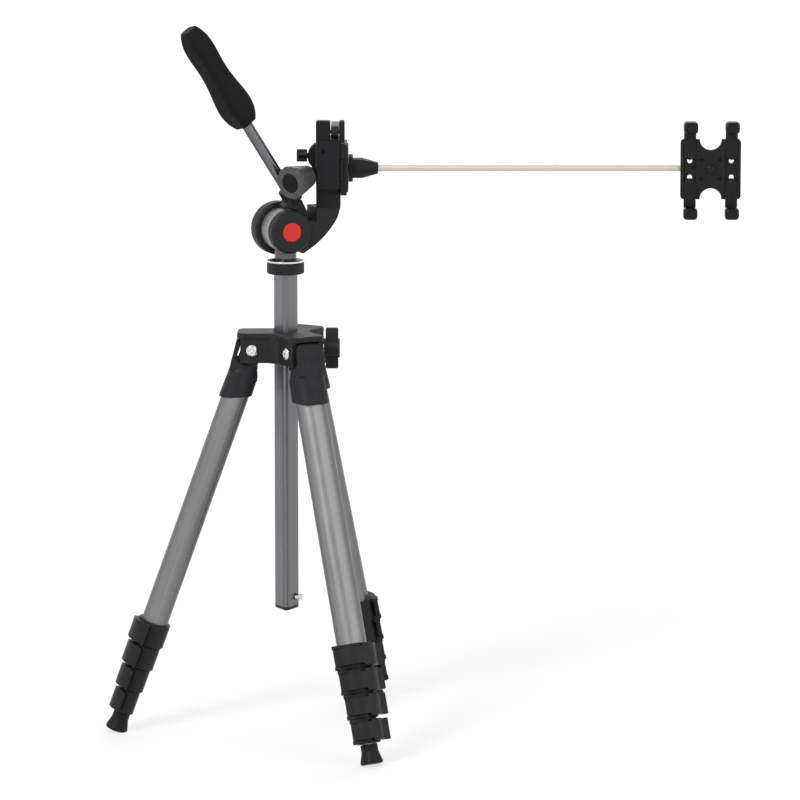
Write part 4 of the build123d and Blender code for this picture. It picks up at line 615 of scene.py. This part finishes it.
class TRIPOD_OT_legs(bpy.types.Operator):
    """Finishes the three telescopic legs with their shoulders, lock collars, levers and feet"""

    bl_idname = "tripod.legs"
    bl_label = "Legs"

    def execute(self, context):
        for leg in LEGS:
            down = joint_axis(f"{leg}_extend_2")
            # The tubes' turned-away edges get a painted dark reflection.
            tube = drawn(f"{leg}_tube", colours().tube, down, 0.40, metallic=0.9, painted_rim=0.35)
            dress(f"{leg}_shoulder", black_moulding())
            for section in range(1, SECTIONS + 1):
                node = f"{leg}_section_{section}"
                if section < SECTIONS:
                    lock = f"{leg}_flip_lock_{section}"
                    start = joint_place(lock).dot(down) - COLLAR_HALF
                    end_piece = black_moulding()
                else:
                    outer = frame["nodes"][f"{leg}_section_{SECTIONS - 1}"].data
                    start = max(v.co.dot(down) for v in outer.vertices)
                    end_piece = foot_rubber()
                dress(node, tube, end_piece,
                      choose=lambda at, s=start, d=down: int(at.dot(d) > s - SLACK))
            for section in range(1, SECTIONS):
                dress(f"{leg}_lever_{section}", lever_plastic())
        return {"FINISHED"}


class TRIPOD_OT_crown(bpy.types.Operator):
    """Finishes the crown, its hinge bolts, the column bush and the column lock knob"""

    bl_idname = "tripod.crown"
    bl_label = "Crown"

    def execute(self, context):
        for node in ("crown", "column_bush", "column_lock_knob"):
            dress(node, black_moulding())
        bolt = turned("hinge_bolt", colours().bright, COLUMN_AXIS, UP, 0.16)
        dress("leg_hinge_bolts", bolt)
        dress("column_lock_screw", bolt)
        for leg in LEGS:
            for side in (-1, 1):
                hinge_head(leg, side)
        return {"FINISHED"}


def hinge_head(leg, side):
    """Domed bright head with its recess on one end of a leg's hinge bolt."""
    hinge, facing = joint_place(f"{leg}_fold"), joint_axis(f"{leg}_fold") * side
    corners = [v.co - hinge for v in frame["nodes"]["leg_hinge_bolts"].data.vertices]
    corners = [v for v in corners if v.length < BOLT_REACH]
    end = max(v.dot(facing) for v in corners)
    radius = max((v - facing * end).length for v in corners if v.dot(facing) > end - BOLT_END)
    label = "right" if side > 0 else "left"
    finish = turned(f"{leg}_hinge_head", colours().bright, hinge, facing, 0.12)
    cross_screw(f"{leg}_hinge_head_{label}", hinge + facing * end, radius, BOLT_RISE, BOLT_RECESS, "crown",
                facing, finish)


class TRIPOD_OT_column(bpy.types.Operator):
    """Finishes the centre column, its top ring, cap and stop pin"""

    bl_idname = "tripod.column"
    bl_label = "Column"

    def execute(self, context):
        dress("center_column", drawn("column_aluminium", colours().column, UP, 0.36, metallic=0.9))
        flange = turned("ring_flange", colours().bright, COLUMN_AXIS, UP, 0.2)
        dark = turned("ring_cone", colours().neck, COLUMN_AXIS, UP, 0.3)
        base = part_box("column_top_ring")[0].z
        dress("column_top_ring", knurled_ring(base), flange, dark,
              choose=lambda at: (at.z > base + FLANGE_FROM) + (at.z > base + FLANGE_TO))
        dress("column_bottom_cap", black_moulding())
        pin = turned("stop_pin", colours().bright, middle("column_stop_pin"), RIGHT)
        dress("column_stop_pin", pin)
        return {"FINISHED"}


def knurled_ring(base):
    """Grained black plastic with straight ribs round the ring's side."""
    material = black_moulding().copy()
    material.name = "knurled_ring"
    tree = material.node_tree
    relief = next(n for n in tree.nodes if n.bl_idname == "ShaderNodeBump")
    ribs = effect(
        tree, "ribs_round", Centre=COLUMN_AXIS, Count=RIB_COUNT,
        Low=base + RIB_MARGIN, High=base + FLANGE_FROM - RIB_MARGIN,
    )
    deeper = add_node(tree, "ShaderNodeBump")
    deeper.inputs["Strength"].default_value = RIB_STRENGTH
    deeper.inputs["Distance"].default_value = RIB_DEPTH
    tree.links.new(ribs["Height"], deeper.inputs["Height"])
    tree.links.new(relief.outputs["Normal"], deeper.inputs["Normal"])
    tree.links.new(deeper.outputs["Normal"], tree.nodes["Principled BSDF"].inputs["Normal"])
    return material


class TRIPOD_OT_head(bpy.types.Operator):
    """Finishes the pan and tilt head: neck, barrel, yoke, axle and badge"""

    bl_idname = "tripod.head"
    bl_label = "Pan and tilt head"

    def execute(self, context):
        dress("head_neck", turned("neck_steel", colours().neck, COLUMN_AXIS, UP, 0.26))
        dress("tilt_barrel", barrel_casting())
        dress("tilt_yoke", black_moulding())
        axle = turned("tilt_axle_steel", colours().bright, joint_place("tilt"), joint_axis("tilt"))
        dress("tilt_axle", axle)
        dress("hub_badge", badge_enamel())
        return {"FINISHED"}


class TRIPOD_OT_handle(bpy.types.Operator):
    """Finishes the pan handle's rod and grip"""

    bl_idname = "tripod.handle"
    bl_label = "Pan handle"

    def execute(self, context):
        along = joint_axis("handle_twist")
        # The rod's turned-away edges get a strong painted dark reflection.
        metal = drawn("handle_metal", colours().handle, along, 0.24, contrast=0.5, bump=0.03, painted_rim=0.8)
        dress("handle_rod", metal)
        dress("handle_grip", grip_rubber())
        return {"FINISHED"}


class TRIPOD_OT_platform(bpy.types.Operator):
    """Finishes the flip platform with its knobs, lever and quick-release plate"""

    bl_idname = "tripod.platform"
    bl_label = "Platform"

    def execute(self, context):
        dress("platform", satin_black())
        dress("flip_lock_knob", grey_knob_plastic())
        dress("flip_knob_cap", knob_cap_plastic())
        for node in ("clamp_star_screw", "qr_lever"):
            dress(node, lever_plastic())
        pad_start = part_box("qr_plate")[1].x - PAD_DEPTH
        dress("qr_plate", coated_metal(), pad_rubber(), choose=lambda at: int(at.x > pad_start))
        return {"FINISHED"}


class TRIPOD_OT_arm(bpy.types.Operator):
    """Finishes the side arm: ferrule, rod and end block"""

    bl_idname = "tripod.arm"
    bl_label = "Arm"

    def execute(self, context):
        dress("arm_ferrule", coated_metal())
        # The nickel rod's turned-away edges get a strong painted dark reflection.
        nickel = drawn("nickel_rod", colours().rod, RIGHT, 0.2, contrast=0.6, bump=0.05, painted_rim=0.75)
        dress("arm_rod", nickel)
        dress("rod_end_block", coated_metal())
        return {"FINISHED"}


class TRIPOD_OT_holder(bpy.types.Operator):
    """Finishes the holder plate and its four claws"""

    bl_idname = "tripod.holder"
    bl_label = "Device holder"

    def execute(self, context):
        dress("holder_plate", coated_metal())
        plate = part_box("holder_plate")[0].y
        centre = middle("holder_plate")
        for node in CLAWS:
            dress(node, coated_metal(), claw_cap(), choose=lambda at: int(
                abs(at.z - centre.z) > CAP_RISE and at.y < plate - CAP_BACK))
            low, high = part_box(node)
            side = 1.0 if low.z > centre.z else -1.0
            place = Vector(((low.x + high.x) / 2, plate - CLAW_HEAD, centre.z + side * CLAW_SCREW_AT))
            cross_screw(f"{node}_screw", place, sizes().small_screw, SCREW_RISE, SCREW_RECESS, node)
        holes = next(m for m in frame["record"]["mounts"] if m["name"] == "holder_screw_holes")
        reach = holes["dims"]["pcd_mm"] / 2 * MILLIMETRE
        for number in range(holes["dims"]["count"]):
            angle = FIRST_HOLE_ANGLE + 2 * math.pi * number / holes["dims"]["count"]
            outward = Vector((math.cos(angle), 0.0, math.sin(angle)))
            place = Vector((centre.x, plate, centre.z)) + outward * reach
            name = f"sunk_screw_{number + 1}"
            cross_screw(name, place, sizes().sunk_screw, SUNK_RISE, SUNK_RECESS, "holder")
        place = Vector((centre.x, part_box("rod_end_block")[0].y, centre.z))
        cross_screw("pivot_screw", place, PIVOT_RADIUS, SCREW_RISE, SCREW_RECESS, "arm")
        return {"FINISHED"}


def cross_screw(name, place, radius, rise, depth, body, facing=FRONT, finish=None):
    """Domed screw head with a cross recess, seen from the side it faces."""
    arm, reach, blur = radius * CROSS_ARM, radius * CROSS_REACH, radius * CROSS_BLUR

    def gate(value, limit):
        return min(1.0, max(0.0, (limit + blur - abs(value)) / (2 * blur)))

    def height(across, up):
        from_middle = math.hypot(across, up) / radius
        dome = rise * (1.0 - from_middle ** DOME_POWER)
        cross = max(gate(across, arm) * gate(up, reach), gate(up, arm) * gate(across, reach))
        return dome - cross * depth

    work = bmesh.new()
    hub = work.verts.new((0.0, -height(0.0, 0.0), 0.0))
    rows = []
    for ring in range(1, SCREW_RINGS + 1):
        row = []
        for step in range(SCREW_STEPS):
            angle = 2 * math.pi * step / SCREW_STEPS
            across = radius * ring / SCREW_RINGS * math.cos(angle)
            up = radius * ring / SCREW_RINGS * math.sin(angle)
            row.append(work.verts.new((across, -height(across, up), up)))
        rows.append(row)
    skirt = [work.verts.new((v.co.x, depth, v.co.z)) for v in rows[-1]]
    rows.append(skirt)
    for step in range(SCREW_STEPS):
        after = (step + 1) % SCREW_STEPS
        work.faces.new((hub, rows[0][step], rows[0][after]))
        for inner, outer in zip(rows, rows[1:]):
            work.faces.new((inner[step], outer[step], outer[after], inner[after]))
    work.faces.new(list(reversed(skirt)))
    bmesh.ops.recalc_face_normals(work, faces=work.faces)
    bmesh.ops.transform(work, matrix=FRONT.rotation_difference(facing).to_matrix(), verts=work.verts)
    mesh = bpy.data.meshes.new(name)
    work.to_mesh(mesh)
    work.free()
    screw = bpy.data.objects.new(name, mesh)
    screw.location = place
    bpy.context.scene.collection.objects.link(screw)
    mesh.materials.append(finish or black_screw())
    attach(screw, body)
    return screw


class TRIPOD_OT_stage(bpy.types.Operator):
    """Makes the plain floor, the soft studio light and the camera"""

    bl_idname = "tripod.stage"
    bl_label = "Stage"

    def execute(self, context):
        scene = context.scene
        scene.view_settings.view_transform = "Standard"
        build_floor()
        build_world(scene)
        for lamp in LAMPS:
            soft_lamp(*lamp)
        build_camera(scene)
        return {"FINISHED"}


def seen_ray(tree):
    """One where a ray comes from the camera, a mirror or clear material."""
    path = add_node(tree, "ShaderNodeLightPath").outputs
    value = maths(tree, "MAXIMUM", path["Is Camera Ray"], path["Is Glossy Ray"])
    return maths(tree, "MAXIMUM", value, path["Is Transmission Ray"])


def build_floor():
    mesh = bpy.data.meshes.new("floor")
    work = bmesh.new()
    bmesh.ops.create_grid(work, x_segments=1, y_segments=1, size=FLOOR_HALF)
    work.to_mesh(mesh)
    work.free()
    floor = bpy.data.objects.new("floor", mesh)
    floor.location.z = -FLOOR_DROP
    bpy.context.scene.collection.objects.link(floor)
    material = bpy.data.materials.new("pale_floor")
    material.use_nodes = True
    tree = material.node_tree
    shader = tree.nodes["Principled BSDF"]
    shader.inputs["Base Color"].default_value = rgba(colours().floor)
    shader.inputs["Roughness"].default_value = 0.9
    shader.inputs["Specular IOR Level"].default_value = 0.1
    glow = add_node(tree, "ShaderNodeEmission")
    glow.inputs["Strength"].default_value = FLOOR_WHITE
    mix = add_node(tree, "ShaderNodeMixShader")
    place = add_node(tree, "ShaderNodeTexCoord").outputs["Object"]
    away = vectors(tree, "LENGTH", place)
    share = spread(tree, away, FLOOR_SHADOW_REACH, FLOOR_WHITE_FROM, FLOOR_GLOW, 1.0)
    feed(tree, mix.inputs[0], maths(tree, "MULTIPLY", seen_ray(tree), share))
    tree.links.new(shader.outputs[0], mix.inputs[1])
    tree.links.new(glow.outputs[0], mix.inputs[2])
    tree.links.new(mix.outputs[0], tree.nodes["Material Output"].inputs["Surface"])
    mesh.materials.append(material)


def build_world(scene):
    world = bpy.data.worlds.new("studio")
    scene.world = world
    world.use_nodes = True
    tree = world.node_tree
    sky = tree.nodes["Background"]
    sky.inputs["Color"].default_value = (1.0, 1.0, 1.0, 1.0)
    sky.inputs["Strength"].default_value = SKY_LEVEL
    white = add_node(tree, "ShaderNodeBackground")
    white.inputs["Color"].default_value = (1.0, 1.0, 1.0, 1.0)
    white.inputs["Strength"].default_value = 1.0
    mix = add_node(tree, "ShaderNodeMixShader")
    feed(tree, mix.inputs[0], seen_ray(tree))
    tree.links.new(sky.outputs[0], mix.inputs[1])
    tree.links.new(white.outputs[0], mix.inputs[2])
    tree.links.new(mix.outputs[0], tree.nodes["World Output"].inputs["Surface"])


def soft_lamp(name, place, size, power):
    data = bpy.data.lights.new(name, "AREA")
    data.size = size
    data.energy = power
    lamp = bpy.data.objects.new(name, data)
    lamp.location = place
    aim = LAMP_AIM - lamp.location
    lamp.rotation_mode = "QUATERNION"
    lamp.rotation_quaternion = aim.to_track_quat("-Z", "Y")
    bpy.context.scene.collection.objects.link(lamp)


def build_camera(scene):
    data = bpy.data.cameras.new("camera")
    data.sensor_width = SENSOR_WIDTH
    data.sensor_fit = "HORIZONTAL"
    data.lens = sizes().camera_lens
    data.clip_end = CAMERA_REACH
    camera = bpy.data.objects.new("camera", data)
    camera.location = (-sizes().camera_side, -sizes().camera_back, sizes().camera_height)
    camera.rotation_euler = (math.pi / 2 - sizes().camera_tilt, 0.0, 0.0)
    scene.collection.objects.link(camera)
    scene.camera = camera


class TRIPOD_PT_panel(bpy.types.Panel):
    """Lists the tripod's operators and settings"""

    bl_idname = "TRIPOD_PT_panel"
    bl_label = "Tripod"
    bl_space_type = "VIEW_3D"
    bl_region_type = "UI"
    bl_category = "Tripod"

    def draw(self, context):
        for operator in OPERATORS:
            self.layout.operator(operator.bl_idname)
        for group in (context.scene.tripod_colours, context.scene.tripod_sizes):
            column = self.layout.column()
            for name in group.__annotations__:
                column.prop(group, name)


OPERATORS = (
    TRIPOD_OT_legs,
    TRIPOD_OT_crown,
    TRIPOD_OT_column,
    TRIPOD_OT_head,
    TRIPOD_OT_handle,
    TRIPOD_OT_platform,
    TRIPOD_OT_arm,
    TRIPOD_OT_holder,
    TRIPOD_OT_stage,
)
CLASSES = (TripodColours, TripodSizes, *OPERATORS, TRIPOD_PT_panel)


def register():
    for entry in CLASSES:
        bpy.utils.register_class(entry)
    bpy.types.Scene.tripod_colours = bpy.props.PointerProperty(type=TripodColours)
    bpy.types.Scene.tripod_sizes = bpy.props.PointerProperty(type=TripodSizes)


def unregister():
    del bpy.types.Scene.tripod_sizes
    del bpy.types.Scene.tripod_colours
    for entry in reversed(CLASSES):
        bpy.utils.unregister_class(entry)


def main():
    register()
    for operator in OPERATORS:
        getattr(bpy.ops.tripod, operator.bl_idname.split(".")[1])()
    bpy.context.view_layer.update()


if __name__ == "__main__":
    main()
